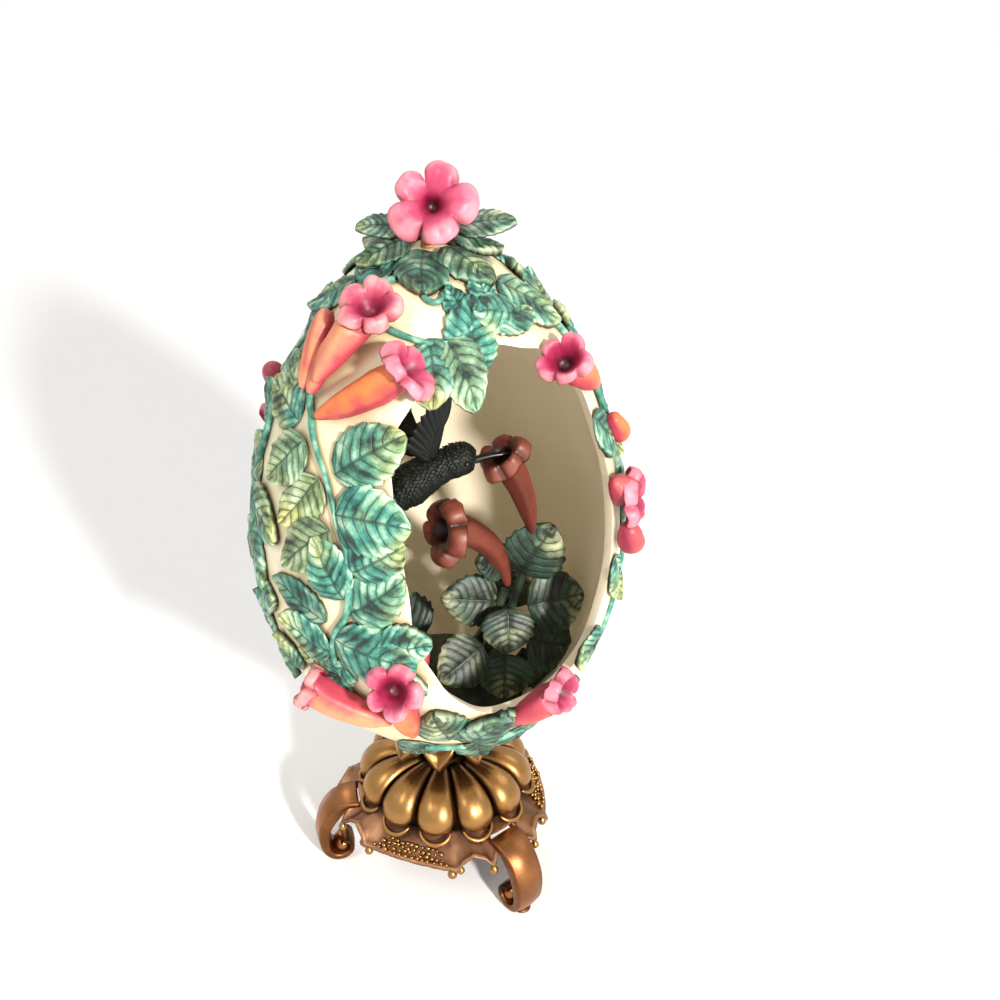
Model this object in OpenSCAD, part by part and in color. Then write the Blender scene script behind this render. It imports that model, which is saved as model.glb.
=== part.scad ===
// Decorative egg on a cast tripod stand.
// A hollow egg with a large oval window stands in the crown of a lobed bell on three scroll feet.
// Vines, trumpet flowers and buds are glued on the shell, and a garden with a bird stands inside it.
// The window faces -Y. Longitude 0 is the window's middle and grows towards +X.
// Latitude runs from -90 at the egg's foot to 90 at its top.

/* [Egg shell] */
// Largest radius of the egg
egg_radius = 31; // [29.5:0.5:33]
// Half of the egg's height
egg_half_height = 46; // [44:0.5:49]
// How much the egg narrows towards its top
egg_taper = 0.115; // [0.06:0.005:0.15]
// Thickness of the shell
shell_wall = 1.6; // [1.2:0.1:2.2]

/* [Window] */
// Half of the window's width
window_half_width = 19; // [17:0.5:20]
// Half of the window's height
window_half_height = 30; // [27:0.5:31]
// Height of the window's middle above the egg's middle
window_rise = 6; // [4.5:0.5:7]
// Squareness of the oval, where 2 is an ellipse
window_squareness = 2.3; // [2:0.1:2.8]

/* [Stand] */
// Height of the egg's lowest point
stand_height = 33.4; // [32.6:0.2:36]
// Turn of the stand about its axis, in degrees
stand_turn = 9; // [0:1:30]
// Radius of the circle on which the feet rest
foot_circle = 23.6; // [22.8:0.2:25]
// Width of a foot's scroll
foot_width = 5.4; // [4.6:0.2:6.4]
// Diameter of the ball in a foot's curl
foot_ball = 3.4; // [2.8:0.2:3.6]
// Radius of the bell at its foot
bell_radius = 14.4; // [14:0.2:15.4]
// Radius of the bell at its top
bell_top_radius = 4.6; // [4.2:0.2:5.4]
// Height of the bell's foot
bell_foot = 16.6; // [16:0.2:17.4]
// Thickness of the bell
bell_wall = 1.4; // [1:0.1:2]
// Height of the neck between bell and egg
neck_height = 10.4; // [9.4:0.2:11]
// Number of lobes round the bell
lobe_count = 12; // [9:3:15]
// Height of a lobe over the bell
lobe_rise = 2.9; // [2:0.1:3.2]
// Thickness of the skirt
skirt_wall = 1; // [0.8:0.1:1.4]
// Diameter of the drops that hang on the skirt's edge
drop_d = 1.7; // [1.2:0.1:2.2]
// Diameter of the grains in the bands over the skirt's long edges
grain_d = 1; // [0.7:0.1:1.2]

/* [Crown] */
// Number of petals in the crown
petal_count = 10; // [8:1:12]
// Length of a petal
petal_length = 6.8; // [6:0.2:7.6]
// Turn of the crown's petals, in degrees
petal_turn = -34; // [-60:1:0]
// Radius of the dished seat under the egg
seat_radius = 8.6; // [7.6:0.2:9.4]
// Radius of the neck between bell and seat
neck_radius = 3.8; // [3.4:0.2:4.4]

/* [Fixing] */
// Diameter of the stud that holds the egg to the stand
stud_d = 3; // [2.5:0.1:4]
// Clearance of the stud in its holes, on the diameter
stud_clearance = 0.4; // [0.2:0.1:0.6]
// Width of the nut across its flats
nut_across = 5.5; // [5.2:0.1:6.5]
// Height of the nut
nut_height = 2.4; // [2:0.1:3]
// Diameter of the washer
washer_d = 8; // [7:0.2:9]
// Thickness of the washer
washer_t = 0.8; // [0.5:0.1:1.2]
// Radius of the plug inside the egg's foot
plug_radius = 9; // [8:0.2:10]
// Height of the plug over the inside of the egg's foot
plug_height = 4; // [3.4:0.2:5]

/* [Leaves and stems] */
// Height of a leaf over what it lies on
leaf_rise = 1; // [0.7:0.1:1.4]
// Diameter of a vine's stem
stem_d = 1.4; // [1:0.1:1.8]
// Gap left for the glue under leaves, stems and flowers
glue_gap = 0.1; // [0.05:0.05:0.2]

/* [Flowers] */
// Radius of a flower tube at its foot
tube_foot_radius = 1.1; // [0.9:0.1:1.4]
// Radius of a flower tube at its mouth
tube_mouth_radius = 2.5; // [2:0.1:2.8]
// Length of a bud
bud_length = 6.4; // [5:0.2:8]
// Diameter of a bud
bud_d = 3.8; // [3:0.2:4.6]

/* [Bird] */
// Radius of the bird's head
head_radius = 2.7; // [2.4:0.1:3]
// Radius of the bird's body at its widest
body_radius = 3.4; // [3:0.1:3.8]
// Length of the beak
beak_length = 6.4; // [6:0.1:7]
// Length of a wing
wing_length = 13; // [11:0.5:14]

/* [Hidden] */
$fn = 48;

gold = "#b08a4a";
cream = "#f3ead2";
leaf_green = "#3f8672";
leaf_dark = "#2c5346";
pink = "#cf5672";
coral = "#d9604c";
rust = "#8c3b26";
bird_green = "#16221c";

foot_count = 3;
egg_centre = stand_height + egg_half_height;
touch = 0.02;

// Places on the egg's surface, at a height over it.
function egg_r(t, h = 0) = (egg_radius + h) * cos(t) * (1 - egg_taper * sin(t));
function egg_z(t, h = 0) = egg_centre + (egg_half_height + h) * sin(t);
function on_egg(lon, t, h = 0) = [egg_r(t, h) * sin(lon), -egg_r(t, h) * cos(lon), egg_z(t, h)];
function unit(v) = v / norm(v);
function east(lon) = [cos(lon), sin(lon), 0];
function slope_r(t) = -egg_radius * (sin(t) * (1 - egg_taper * sin(t)) + egg_taper * cos(t) ^ 2);
function north(lon, t) = unit([slope_r(t) * sin(lon), -slope_r(t) * cos(lon), egg_half_height * cos(t)]);

// The egg's latitude at a point near its surface, and that point brought to a height over it.
function lat_guess(q, s) = atan2((q.z - egg_centre) / egg_half_height,
                                 norm([q.x, q.y]) / egg_radius / (1 - egg_taper * s));
function lat_of(q) = lat_guess(q, sin(lat_guess(q, sin(lat_guess(q, 0)))));
function draped(q, h) = on_egg(atan2(q.x, -q.y), lat_of(q), h);

// A smooth curve through points, as a list of points with a few steps between each pair.
function spline_at(p, i, f) =
    let (a = p[max(i - 1, 0)], b = p[i], c = p[i + 1], d = p[min(i + 2, len(p) - 1)])
    b + 0.5 * f * (c - a + f * (2 * a - 5 * b + 4 * c - d + f * (3 * b - a - 3 * c + d)));
function spline(p, steps) =
    [for (i = [0 : len(p) - 2], k = [0 : steps - 1]) spline_at(p, i, k / steps), p[len(p) - 1]];

// The direction of a path at one of its points.
function along(path, i) = unit(path[min(i + 1, len(path) - 1)] - path[max(i - 1, 0)]);

// Faces of a closed skin over rings of equal size, with a flat cap at each end.
function ring_faces(rings, sides) = concat(
    [[for (k = [0 : sides - 1]) k]],
    [for (i = [0 : rings - 2], k = [0 : sides - 1])
        let (a = i * sides + k, b = i * sides + (k + 1) % sides) [a, a + sides, b]],
    [for (i = [0 : rings - 2], k = [0 : sides - 1])
        let (a = i * sides + k, b = i * sides + (k + 1) % sides) [b, a + sides, b + sides]],
    [[for (k = [sides - 1 : -1 : 0]) (rings - 1) * sides + k]]);

// A skin over rings of points. Each ring turns the same way round.
module skin(rings) {
    sides = len(rings[0]);
    polyhedron([for (ring = rings, p = ring) p], ring_faces(len(rings), sides), convexity = 6);
}

// One ring of a sweep, with half sizes a and b, where b lies along the direction called up.
function ring_at(p, ahead, up, a, b, sides) =
    let (side = unit(cross(up, ahead)), top = cross(ahead, side))
    [for (k = [0 : sides - 1]) p + side * a * cos(360 * k / sides) + top * b * sin(360 * k / sides)];

// A tube along a path. Sizes holds its radius at each point.
module tube(path, sizes, sides, up = [0.3, 0.2, 1]) {
    skin([for (i = [0 : len(path) - 1]) ring_at(path[i], along(path, i), up, sizes[i], sizes[i], sides)]);
}

// Stand: angles from the nearest foot, and the skirt's edge as height and radius over that angle.
foot_step = 360 / foot_count;
drop_single = 13.5;
drop_double = 32.5;
skirt_edge_r = [[0, 17.2], [9.2, 17.2], [9.6, 20.4], [13.5, 22], [17, 20.9], [23, 20.2], [29, 20.3], [32.5, 20.9],
                [37, 20.1], [48, 19.6], [60, 19.4]];
skirt_edge_z = [[0, 15.8], [9.2, 15.8], [9.6, 13.9], [13.5, 12.6], [17, 14], [23, 14.8], [29, 13.3], [32.5, 11.9],
                [37, 12], [48, 12.3], [60, 12.4]];
skirt_angles = [0, 9.2, 9.6, 13.5, 17, 20, 23, 26, 29, 32.5, 37, 42, 48, 54, 60];
skirt_reach = foot_circle - 23.6;

function round_stand(r, a, z) = [r * sin(stand_turn + a), -r * cos(stand_turn + a), z];
function edge_r(a) = lookup(abs(a), skirt_edge_r) + skirt_reach;
function edge_z(a) = lookup(abs(a), skirt_edge_z);

// The skirt's outside at an angle, from the bell (f = 0) to the edge (f = 1), flaring outwards.
function skirt_point(a, f) =
    [bell_radius + (edge_r(a) - bell_radius) * (0.35 * f + 0.65 * f ^ 1.6),
     bell_foot + (edge_z(a) - bell_foot) * (1.25 * f - 0.25 * f ^ 2)];
function skirt_section(a) = [
    [bell_radius - bell_wall, bell_foot],
    skirt_point(a, 0),
    skirt_point(a, 0.3),
    skirt_point(a, 0.65),
    skirt_point(a, 1),
    skirt_point(a, 1) + [-skirt_wall, -0.1],
    skirt_point(a, 0.5) + [-0.8 * skirt_wall, -0.9 * skirt_wall],
    [bell_radius - bell_wall, bell_foot - 1.5 * skirt_wall]];

module stand_skirt() {
    half = [for (i = [0 : len(skirt_angles) - 1]) skirt_angles[i]];
    round = [for (i = [0 : foot_count - 1], s = [-1, 1], k = [0 : len(half) - 2])
        i * foot_step + (s < 0 ? -half[len(half) - 1 - k] : half[k])];
    sections = [for (a = round)
        let (near = a - foot_step * round(a / foot_step))
        [for (p = skirt_section(near)) round_stand(p.x, a, p.y)]];
    rows = len(sections[0]);
    count = len(sections);
    color(gold)
        polyhedron([for (s = sections, p = s) p],
            [for (i = [0 : count - 1], k = [0 : rows - 1], t = [0, 1])
                let (a = i * rows + k, b = i * rows + (k + 1) % rows,
                     c = ((i + 1) % count) * rows + k, d = ((i + 1) % count) * rows + (k + 1) % rows)
                t == 0 ? [a, c, b] : [b, c, d]], convexity = 8);
}

// The drops hang from the skirt's edge: one beside each foot and a pair at each long edge's end.
module skirt_drops() {
    places = [[drop_single, 0], [drop_double - 2.3, 0], [drop_double + 2.3, 0]];
    color(gold)
        for (i = [0 : foot_count - 1], s = [-1, 1], p = places) {
            a = s * p.x;
            translate(round_stand(edge_r(a) - skirt_wall / 2, i * foot_step + a,
                                  edge_z(a) - 0.1 - drop_d / 2 - touch))
                sphere(d = drop_d);
        }
}

// Rows of grains lie over each long edge of the skirt.
module grain_bands() {
    rows = [[0.62, 9], [0.76, 10], [0.9, 11]];
    color(gold)
        for (i = [0 : foot_count - 1], row = rows, k = [0 : row[1] - 1]) {
            a = foot_step / 2 + (k - (row[1] - 1) / 2) * 4.4;
            near = a <= 60 ? a : foot_step - a;
            p = skirt_point(near, row[0]);
            out = unit([0.62, 0, 0.78]);
            lift = grain_d / 2 + 0.12;
            translate(round_stand(p.x + out.x * lift, i * foot_step + a, p.y + out.z * lift))
                sphere(d = grain_d, $fn = 16);
        }
}

// A scroll foot lies in one upright plane: each point holds its reach, height and half thickness.
foot_line = [[-6, 15.2, 1], [-3.8, 14.6, 1.7], [-1.4, 12.6, 2], [0.6, 9.2, 1.8], [1.1, 5.6, 1.5],
             [0.6, 2.7, 1.2], [-0.8, 1.2, 1.1], [-2.4, 1.5, 0.8]];
foot_pad_h = 0.4;

module scroll_foot(turn) {
    path = spline([for (p = foot_line) [foot_circle + p.x, p.y, p.z]], 3);
    last = len(path) - 1;
    rotate(stand_turn + turn - 90) {
        skin([for (i = [0 : last])
            let (here = [path[i].x, 0, path[i].y],
                 before = path[max(i - 1, 0)],
                 after = path[min(i + 1, last)],
                 ahead = unit([after.x - before.x, 0, after.y - before.y]))
            ring_at(here, ahead, [0, 1, 0], path[i].z, foot_width / 2 * (1 - 0.25 * i / last), 10)]);
        translate([foot_circle - 2.5, 0, foot_ball / 2 + 1.4])
            sphere(d = foot_ball);
        translate([foot_circle - 0.6, 0, 0])
            cylinder(r = 1.7, h = foot_pad_h);
    }
}

module foot_front() { color(gold) scroll_foot(0); }
module foot_right() { color(gold) scroll_foot(foot_step); }
module foot_left() { color(gold) scroll_foot(-foot_step); }

// The bell is a squarish quarter oval turned about the axis, and the lobes follow the same line.
bell_top = stand_height - neck_height;
bell_power = 0.7;
function bell_line(f, r, z) = [bell_top_radius + (r - bell_top_radius) * sin(90 * f) ^ bell_power,
                               bell_foot + (z - bell_foot) * cos(90 * f) ^ bell_power];
stud_hole = stud_d + stud_clearance;

module stand_bell() {
    steps = 10;
    outside = [for (i = [0 : steps]) bell_line(i / steps, bell_radius, bell_top)];
    inside = [for (i = [steps : -1 : 0])
        bell_line(i / steps, bell_radius - bell_wall, bell_top - bell_wall)];
    color(gold)
        rotate_extrude()
            polygon(concat([[stud_hole / 2, bell_top]], outside, inside,
                           [[stud_hole / 2, bell_top - bell_wall]]));
}

lobe_step = 360 / lobe_count;
function lobe_rise_at(f) = lobe_rise * (0.35 + 0.65 * f ^ 0.5) * sqrt(1 - f ^ 10);
function lobe_half_angle(f) = lobe_step * (0.28 + 0.22 * f) * sqrt(1 - 0.96 * f ^ 12);
function lobe_point(a, f, h) =
    let (p = bell_line(f, bell_radius, bell_top), slant = 90 * f)
    round_stand(p.x + h * sin(slant), a, p.y + h * (cos(slant) - 0.3 * f ^ 2));

module bell_lobes() {
    stations = [0.02, 0.09, 0.2, 0.38, 0.58, 0.78, 0.92, 0.99];
    across = [[1, 0], [0.72, 0.62], [0.3, 0.95], [-0.3, 0.95], [-0.72, 0.62], [-1, 0], [0, 0]];
    color(gold)
        for (i = [0 : lobe_count - 1])
            skin([for (f = stations) [for (c = across)
                lobe_point((i + 0.5) * lobe_step + c.x * lobe_half_angle(f), f,
                           2.5 * glue_gap + c.y * lobe_rise_at(f))]]);
}

// A small cup-shaped rim lies on the skirt under each lobe's tip.
cup_radius = 2.9;
cup_rim = 0.5;
cup_tilt = 40;
module lobe_cups() {
    color(gold)
        for (i = [0 : lobe_count - 1]) {
            a = (i + 0.5) * lobe_step;
            rotate(stand_turn + a - 90)
                translate([bell_radius + 0.5, 0, bell_foot + 0.8])
                    rotate([0, cup_tilt, 0])
                        rotate([0, 0, -80])
                            rotate_extrude(angle = 160, $fn = 32)
                                translate([cup_radius, 0])
                                    circle(r = cup_rim, $fn = 16);
        }
}

// Folded petals spread from the neck under the egg. Each is a valley with its sides turned up.
crown_root = neck_radius + 1.6;
crown_low = stand_height - 3.2;
module crown_petals() {
    stations = [[0, 0.94, 0, 0.6, 0.4], [0.3, 0.94, 1.9, 1.4, 0.4], [0.62, 0.94, 2.2, 2, 0.4],
                [0.88, 0.78, 1.2, 1.4, 0.4], [1, 0.16, -0.4, 0.3, 0.3]];
    color(gold)
        for (i = [0 : petal_count - 1])
            rotate(petal_turn + i * 360 / petal_count - 90)
                skin([for (s = stations)
                    let (x = crown_root + petal_length * s[0], z = crown_low + s[2],
                         w = s[1] * x * tan(180 / petal_count), fold = s[3], h = s[4])
                    [[x, -w, z + fold - h], [x, 0, z - h], [x, w, z + fold - h], [x, w, z + fold + h],
                     [x, 0, z + h], [x, -w, z + fold + h]]]);
}

// The latitude, near the egg's foot, at which a skin of the given largest radius reaches a radius.
function shell_lat(r, largest) = -acos(r / largest / (1 + egg_taper * 0.95));

// The neck carries a dish that follows the egg's foot.
module egg_seat() {
    steps = 6;
    low_lat = -90;
    high_lat = shell_lat(seat_radius, egg_radius);
    dish = [for (i = [0 : steps])
        let (t = low_lat + (high_lat - low_lat) * i / steps)
        [egg_r(t, glue_gap), egg_z(t, glue_gap) - 2 * touch]];
    color(gold)
        difference() {
            rotate_extrude()
                polygon(concat([[0, bell_top + touch]], dish,
                               [[dish[steps].x, dish[steps].y - 0.8],
                                [neck_radius + 1, crown_low + 1],
                                [neck_radius + 0.6, crown_low - 1],
                                [neck_radius, bell_top + neck_height / 3],
                                [neck_radius, bell_top + 1.4],
                                [neck_radius + 0.8, bell_top + touch]]));
            translate([0, 0, bell_top - 1])
                cylinder(d = stud_hole, h = neck_height + 2);
        }
}

// The stud runs from the plug in the egg's foot through shell, seat and bell to the nut.
washer_top = bell_top - bell_wall;
module tie_washer() {
    color("silver")
        translate([0, 0, washer_top - washer_t])
            difference() {
                cylinder(d = washer_d, h = washer_t);
                translate([0, 0, -1])
                    cylinder(d = stud_hole, h = washer_t + 2);
            }
}

module tie_nut() {
    color("silver")
        translate([0, 0, washer_top - washer_t - nut_height])
            difference() {
                cylinder(d = nut_across / cos(30), h = nut_height, $fn = 6);
                translate([0, 0, -1])
                    cylinder(d = stud_d + touch, h = nut_height + 2);
            }
}

stud_low = washer_top - washer_t - nut_height - 1.2;
plug_top = stand_height + shell_wall + plug_height;
module tie_stud() {
    color("silver")
        translate([0, 0, stud_low])
            cylinder(d = stud_d, h = plug_top - 1 - stud_low);
}

function inside_profile(low, high, steps, gap) =
    [for (i = [0 : steps])
        let (t = low + (high - low) * i / steps)
        [egg_r(t, -shell_wall - gap), egg_z(t, -shell_wall - gap)]];

module base_plug() {
    rim = inside_profile(-90, shell_lat(plug_radius, egg_radius - shell_wall), 5, glue_gap);
    color(cream)
        difference() {
            rotate_extrude()
                polygon(concat(rim, [[rim[5].x, plug_top], [0, plug_top]]));
            translate([0, 0, stand_height])
                cylinder(d = stud_d + touch, h = plug_top - stand_height - 1 + touch);
        }
}

// The shell is turned from its profile, and the window is cut straight through its front.
module egg_shell() {
    steps = 36;
    outside = [for (i = [0 : steps]) let (t = -90 + 180 * i / steps) [egg_r(t), egg_z(t)]];
    inside = [for (i = [steps : -1 : 0]) let (t = -90 + 180 * i / steps)
        [egg_r(t, -shell_wall), egg_z(t, -shell_wall)]];
    power = 2 / window_squareness;
    points = 40;
    window = [for (i = [0 : points - 1])
        let (c = cos(360 * i / points), s = sin(360 * i / points))
        [sign(c) * window_half_width * abs(c) ^ power, sign(s) * window_half_height * abs(s) ^ power]];
    color(cream)
        difference() {
            rotate_extrude($fn = 96)
                polygon(concat(outside, inside));
            translate([0, 0, egg_centre + window_rise])
                rotate([90, 0, 0])
                    linear_extrude(egg_radius * 2)
                        polygon(window);
            translate([0, 0, stand_height - 1])
                cylinder(d = stud_hole, h = shell_wall + 2);
        }
}

// A leaf on the egg: its foot's place, heading from north, length, width and height under it.
// Its outline swells fast, then narrows to a point, and its blade has a groove along the middle.
leaf_outline = [[0.1, 0.5], [0.3, 0.95], [0.52, 1], [0.76, 0.68], [0.92, 0.28]];
function leaf_ring(base, ahead, side, length, half, f, lift) = [
    draped(base + ahead * length * f[0] - side * half * f[1], glue_gap + lift + 0.3 * leaf_rise),
    draped(base + ahead * length * f[0] - side * half * f[1] * 0.55, glue_gap + lift + leaf_rise),
    draped(base + ahead * length * f[0], glue_gap + lift + 0.7 * leaf_rise),
    draped(base + ahead * length * f[0] + side * half * f[1] * 0.55, glue_gap + lift + leaf_rise),
    draped(base + ahead * length * f[0] + side * half * f[1], glue_gap + lift + 0.3 * leaf_rise),
    draped(base + ahead * length * f[0], glue_gap + lift)];

module leaf(lon, t, heading, length, width, lift = 0) {
    base = on_egg(lon, t);
    ahead = north(lon, t) * cos(heading) + east(lon) * sin(heading);
    side = east(lon) * cos(heading) - north(lon, t) * sin(heading);
    skin([for (f = leaf_outline) leaf_ring(base, ahead, side, length, width / 2, f, lift)]);
}

module leaves(list) {
    for (p = list)
        leaf(p[0], p[1], p[2], p[3], p[4], p[5]);
}

// A stem laid on the egg through places given as longitude and latitude.
module stem(places) {
    path = spline(places, 2);
    h = glue_gap + stem_d / 2;
    tube([for (p = path) on_egg(p.x, p.y, h)], [for (p = path) stem_d / 2], 6, [0.31, 0.23, 0.1]);
}

// Leaves set by turns on both sides of a stem, each leaning forward from it.
function grown(places, count, length, lean, shift) =
    let (path = spline(places, 6), last = len(path) - 1)
    [for (i = [0 : count - 1])
        let (k = round(last * (i + 0.5) / count), here = path[k],
             a = path[max(k - 1, 0)], b = path[min(k + 1, last)],
             way = atan2((b.x - a.x) * egg_r(here.y), (b.y - a.y) * egg_half_height),
             hand = (i + shift) % 2 == 0 ? 1 : -1,
             size = length * (1 + 0.14 * sin(137 * i + 50 * shift)))
        [here.x, here.y, way + hand * (lean + 12 * sin(97 * i)), size, size * 0.62,
         i % 3 == 0 ? 0.5 : 0]];

left_stem = [[-83, 39], [-78, 35], [-73, 30], [-64, 23], [-59, 16], [-55, 10], [-54, 5], [-55, -3],
             [-59, -8], [-61, -15], [-57, -24]];
left_leaves = [[-82, 31, -69, 12, 8.5, 0], [-76, 29, -144, 11, 8, 0.4], [-62, 24, 48, 14.5, 9, 0.3],
               [-60, 17, 84, 13, 10.5, 0.6], [-67, 23, -152, 11.5, 7.5, 0.2], [-60, 14, -128, 12.5, 7.5, 0.6],
               [-55, 0, -38, 11, 8, 0.3], [-54, 6, 57, 11, 8.5, 0.3], [-55, -3, 55, 11, 8.5, 0],
               [-62, -7, -62, 12.5, 6.5, 0], [-61, -14, -76, 10.5, 7.5, 0.4], [-60, -9, 104, 13.5, 9.5, 0.6],
               [-61, -21, -70, 8, 6, 0], [-78, -26, -40, 8, 6, 0.2], [-57, -16, -150, 8, 6, 0]];
module vine_left() {
    color(leaf_green) {
        stem(left_stem);
        leaves(left_leaves);
    }
}

far_left_stem = [[-112, -38], [-106, -26], [-103, -14], [-105, 0], [-106, 12], [-103, 24],
                 [-108, 36], [-104, 48]];
far_left_leaves = [[-102, 11, -50, 10, 7, 0], [-104, 10, 98, 12.5, 8, 0.4], [-107, 2, 128, 12, 8, 0],
                   [-98, -25, -16, 10, 7, 0], [-104, -6, -70, 10, 7, 0.2], [-100, 46, -30, 10, 7, 0],
                   [-107, 33, 35, 10, 7, 0.2], [-104, 26, -72, 9, 6.5, 0], [-103, -12, 80, 10, 7, 0],
                   [-108, -30, -75, 9, 6.5, 0.2], [-107, -30, 110, 9, 6.5, 0]];
module vine_far_left() {
    color(leaf_green) {
        stem(far_left_stem);
        leaves(far_left_leaves);
    }
}

// Leaves over the window's upper rim.
shoulder_stem = [[-50, 57], [-36, 54], [-22, 53], [-6, 56], [10, 58], [24, 57]];
shoulder_leaves = [[-30, 55, 170, 10.5, 8, 0.2], [-22, 54, 152, 11, 7, 0.6], [-14, 46, 20, 12, 8, 0],
                   [4, 55, 70, 9, 6, 0.2], [26, 55, -60, 9, 6.5, 0.3], [28, 66, 148, 12, 7, 0.2],
                   [10, 60, 0, 8, 5.5, 0], [-6, 58, -20, 8, 5.5, 0]];
module vine_shoulder() {
    color(leaf_green) {
        stem(shoulder_stem);
        leaves(shoulder_leaves);
    }
}

right_stem = [[44, -40], [50, -30], [52, -18], [52, -6], [52, 6], [53, 18], [56, 30], [54, 42],
              [46, 52], [36, 60]];
right_leaves = [[40, 27, 150, 11, 7, 0.2], [38, -4, 172, 9, 5.5, 0.2], [33, -20, -115, 9, 5.5, 0.2],
                [54, 22, 60, 11, 7, 0], [52, 8, 110, 11, 7, 0.2], [52, -8, 60, 11, 7, 0],
                [52, -20, 120, 10, 6.5, 0.2], [48, -34, 70, 10, 6.5, 0], [56, 36, 60, 10, 6.5, 0.2],
                [48, 51, 60, 10, 6.5, 0]];
module vine_right() {
    color(leaf_green) {
        stem(right_stem);
        leaves(right_leaves);
    }
}

// Broad leaves under the window's lower rim, over the crown.
base_stem = [[-36, -48], [-20, -49], [-4, -49], [12, -48], [28, -47]];
base_leaves = [[-24, -45, -25, 11, 9, 0], [-20, -46, 30, 10.5, 8.5, 0.5], [-4, -45, -8, 8, 6.5, 0.2],
               [4, -44, 40, 8, 6, 0], [-34, -48, 215, 8, 6, 0], [-14, -50, 170, 7.5, 6.5, 0.3],
               [6, -50, 160, 7.5, 6.5, 0.2], [24, -47, 140, 8, 6, 0], [20, -46, 20, 7.5, 5.5, 0.2]];
module vine_base() {
    color(leaf_dark) {
        stem(base_stem);
        leaves(base_leaves);
    }
}

back_right_stem = [[84, -48], [88, -30], [82, -10], [88, 10], [84, 30], [92, 48], [104, 60]];
module vine_back_right() {
    color(leaf_green) {
        stem(back_right_stem);
        leaves(grown(back_right_stem, 13, 10.5, 55, 0));
    }
}

back_stem = [[150, -52], [142, -34], [148, -14], [140, 6], [148, 26], [142, 44], [150, 62]];
module vine_back() {
    color(leaf_green) {
        stem(back_stem);
        leaves(grown(back_stem, 13, 10.5, 58, 1));
    }
}

back_left_stem = [[-158, -50], [-150, -34], [-156, -16], [-148, 2], [-154, 20], [-146, 38], [-152, 54]];
module vine_back_left() {
    color(leaf_green) {
        stem(back_left_stem);
        leaves(grown(back_left_stem, 12, 10.5, 58, 0));
    }
}

top_stem = [[-60, 70], [-95, 66], [-130, 68], [-165, 66], [160, 68], [125, 66], [90, 69]];
function unwound(list) = [for (p = list) [p.x > 0 ? p.x - 360 : p.x, p.y]];
module vine_top() {
    way = unwound(top_stem);
    color(leaf_green) {
        stem(way);
        leaves(grown(way, 8, 9, 62, 0));
    }
}

// A trumpet flower: a bent tube from its foot to its mouth, where five lobes spread.
// The mouth looks along the line from the bend to the face.
petals = 5;
mouth_ring = 3 * petals;
function lobed(k) = k % 3 == 0 ? 0.62 : 1;
function flower_ring(p, ahead, r, depth) =
    let (up = abs(ahead.z) > 0.9 ? [0, 1, 0] : [0, 0, 1], side = unit(cross(up, ahead)),
         top = cross(ahead, side))
    [for (k = [0 : mouth_ring - 1])
        let (a = 360 * k / mouth_ring, w = r * (1 - depth * (1 - lobed(k))))
        p + side * w * cos(a) + top * w * sin(a)];
function bent(a, b, c, f) = a * (1 - f) ^ 2 + b * 2 * f * (1 - f) + c * f ^ 2;

function off_centre(q) = norm(q - [0, 0, egg_centre]);
function pressed(q) = let (s = draped(q, glue_gap)) off_centre(q) < off_centre(s) ? s : q;

module trumpet(foot, bend, face, flare, mouth = tube_mouth_radius, on_shell = false, slim = 1) {
    way = unit(face - bend);
    body = [[0, 0.6], [0.1, 1], [0.35, 1.15], [0.62, 1.4]];
    rings = concat(
        [for (s = body)
            flower_ring(bent(foot, bend, face, s[0]),
                        unit(bent(foot, bend, face, s[0] + 0.05) - bent(foot, bend, face, s[0])),
                        tube_foot_radius * s[1] * slim, 0)],
        [flower_ring(bent(foot, bend, face, 0.85), way, mouth, 0),
         flower_ring(face - way * 0.3, way, (mouth + flare) / 2, 0.3),
         flower_ring(face + way * 0.5, way, flare, 1),
         flower_ring(face + way * 1.1, way, flare * 0.8, 1),
         flower_ring(face + way * 0.5, way, mouth * 0.8, 0.3),
         flower_ring(face - way * 2.4, way, mouth * 0.45, 0)]);
    skin([for (ring = rings) [for (q = ring) on_shell ? pressed(q) : q]]);
}

// A trumpet flower on the egg. Each place holds longitude, latitude and height over the shell.
// Where a point would lie inside the shell, it is brought out onto it, as pressed clay is.
module shell_flower(foot, bend, face, flare, mouth = tube_mouth_radius) {
    trumpet(on_egg(foot.x, foot.y, foot.z), on_egg(bend.x, bend.y, bend.z),
            on_egg(face.x, face.y, face.z), flare, mouth, true);
}

module flower_upper_left() { color(coral) shell_flower([-74, 40, 3], [-68, 49, 3.6], [-59, 57, 4], 5.2, 2.8); }
module flower_side_left() { color(coral) shell_flower([-72, 34, 1.6], [-55, 39, 3], [-38, 45, 4], 5.8, 2.9); }
module flower_upper_right() { color(pink) shell_flower([48, 31, 1.6], [39, 36, 2.2], [28, 41, 2.8], 4.4); }
module flower_mid_right() { color(pink) shell_flower([32, 14, 1.6], [38, 11, 2], [45, 7, 2.8], 5); }
module flower_low_right() { color(pink) shell_flower([-6, -33, 1.4], [1, -30, 2.2], [8, -25, 2.8], 4.4); }
module flower_low_left() { color(pink) shell_flower([-38, -35, 1.6], [-39, -25, 2.4], [-41, -16, 3.6], 4.8); }
module flower_base_left() { color(coral) shell_flower([-44, -30, 1.6], [-55, -27, 2.8], [-67, -22, 3.4], 4.6, 2.8); }
module flower_back_high() { color(coral) shell_flower([126, 30, 1.4], [134, 40, 2.6], [144, 50, 4.4], 5.2); }
module flower_back_left() { color(pink) shell_flower([-138, -10, 1.4], [-146, 0, 2.6], [-156, 8, 4.4], 5.2); }
module flower_back_right() { color(pink) shell_flower([100, -32, 1.4], [109, -27, 2.6], [119, -20, 4], 5); }
module flower_back_low() { color(coral) shell_flower([-164, -42, 1.4], [-172, -36, 2.6], [-181, -28, 3.6], 4.8); }

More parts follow.
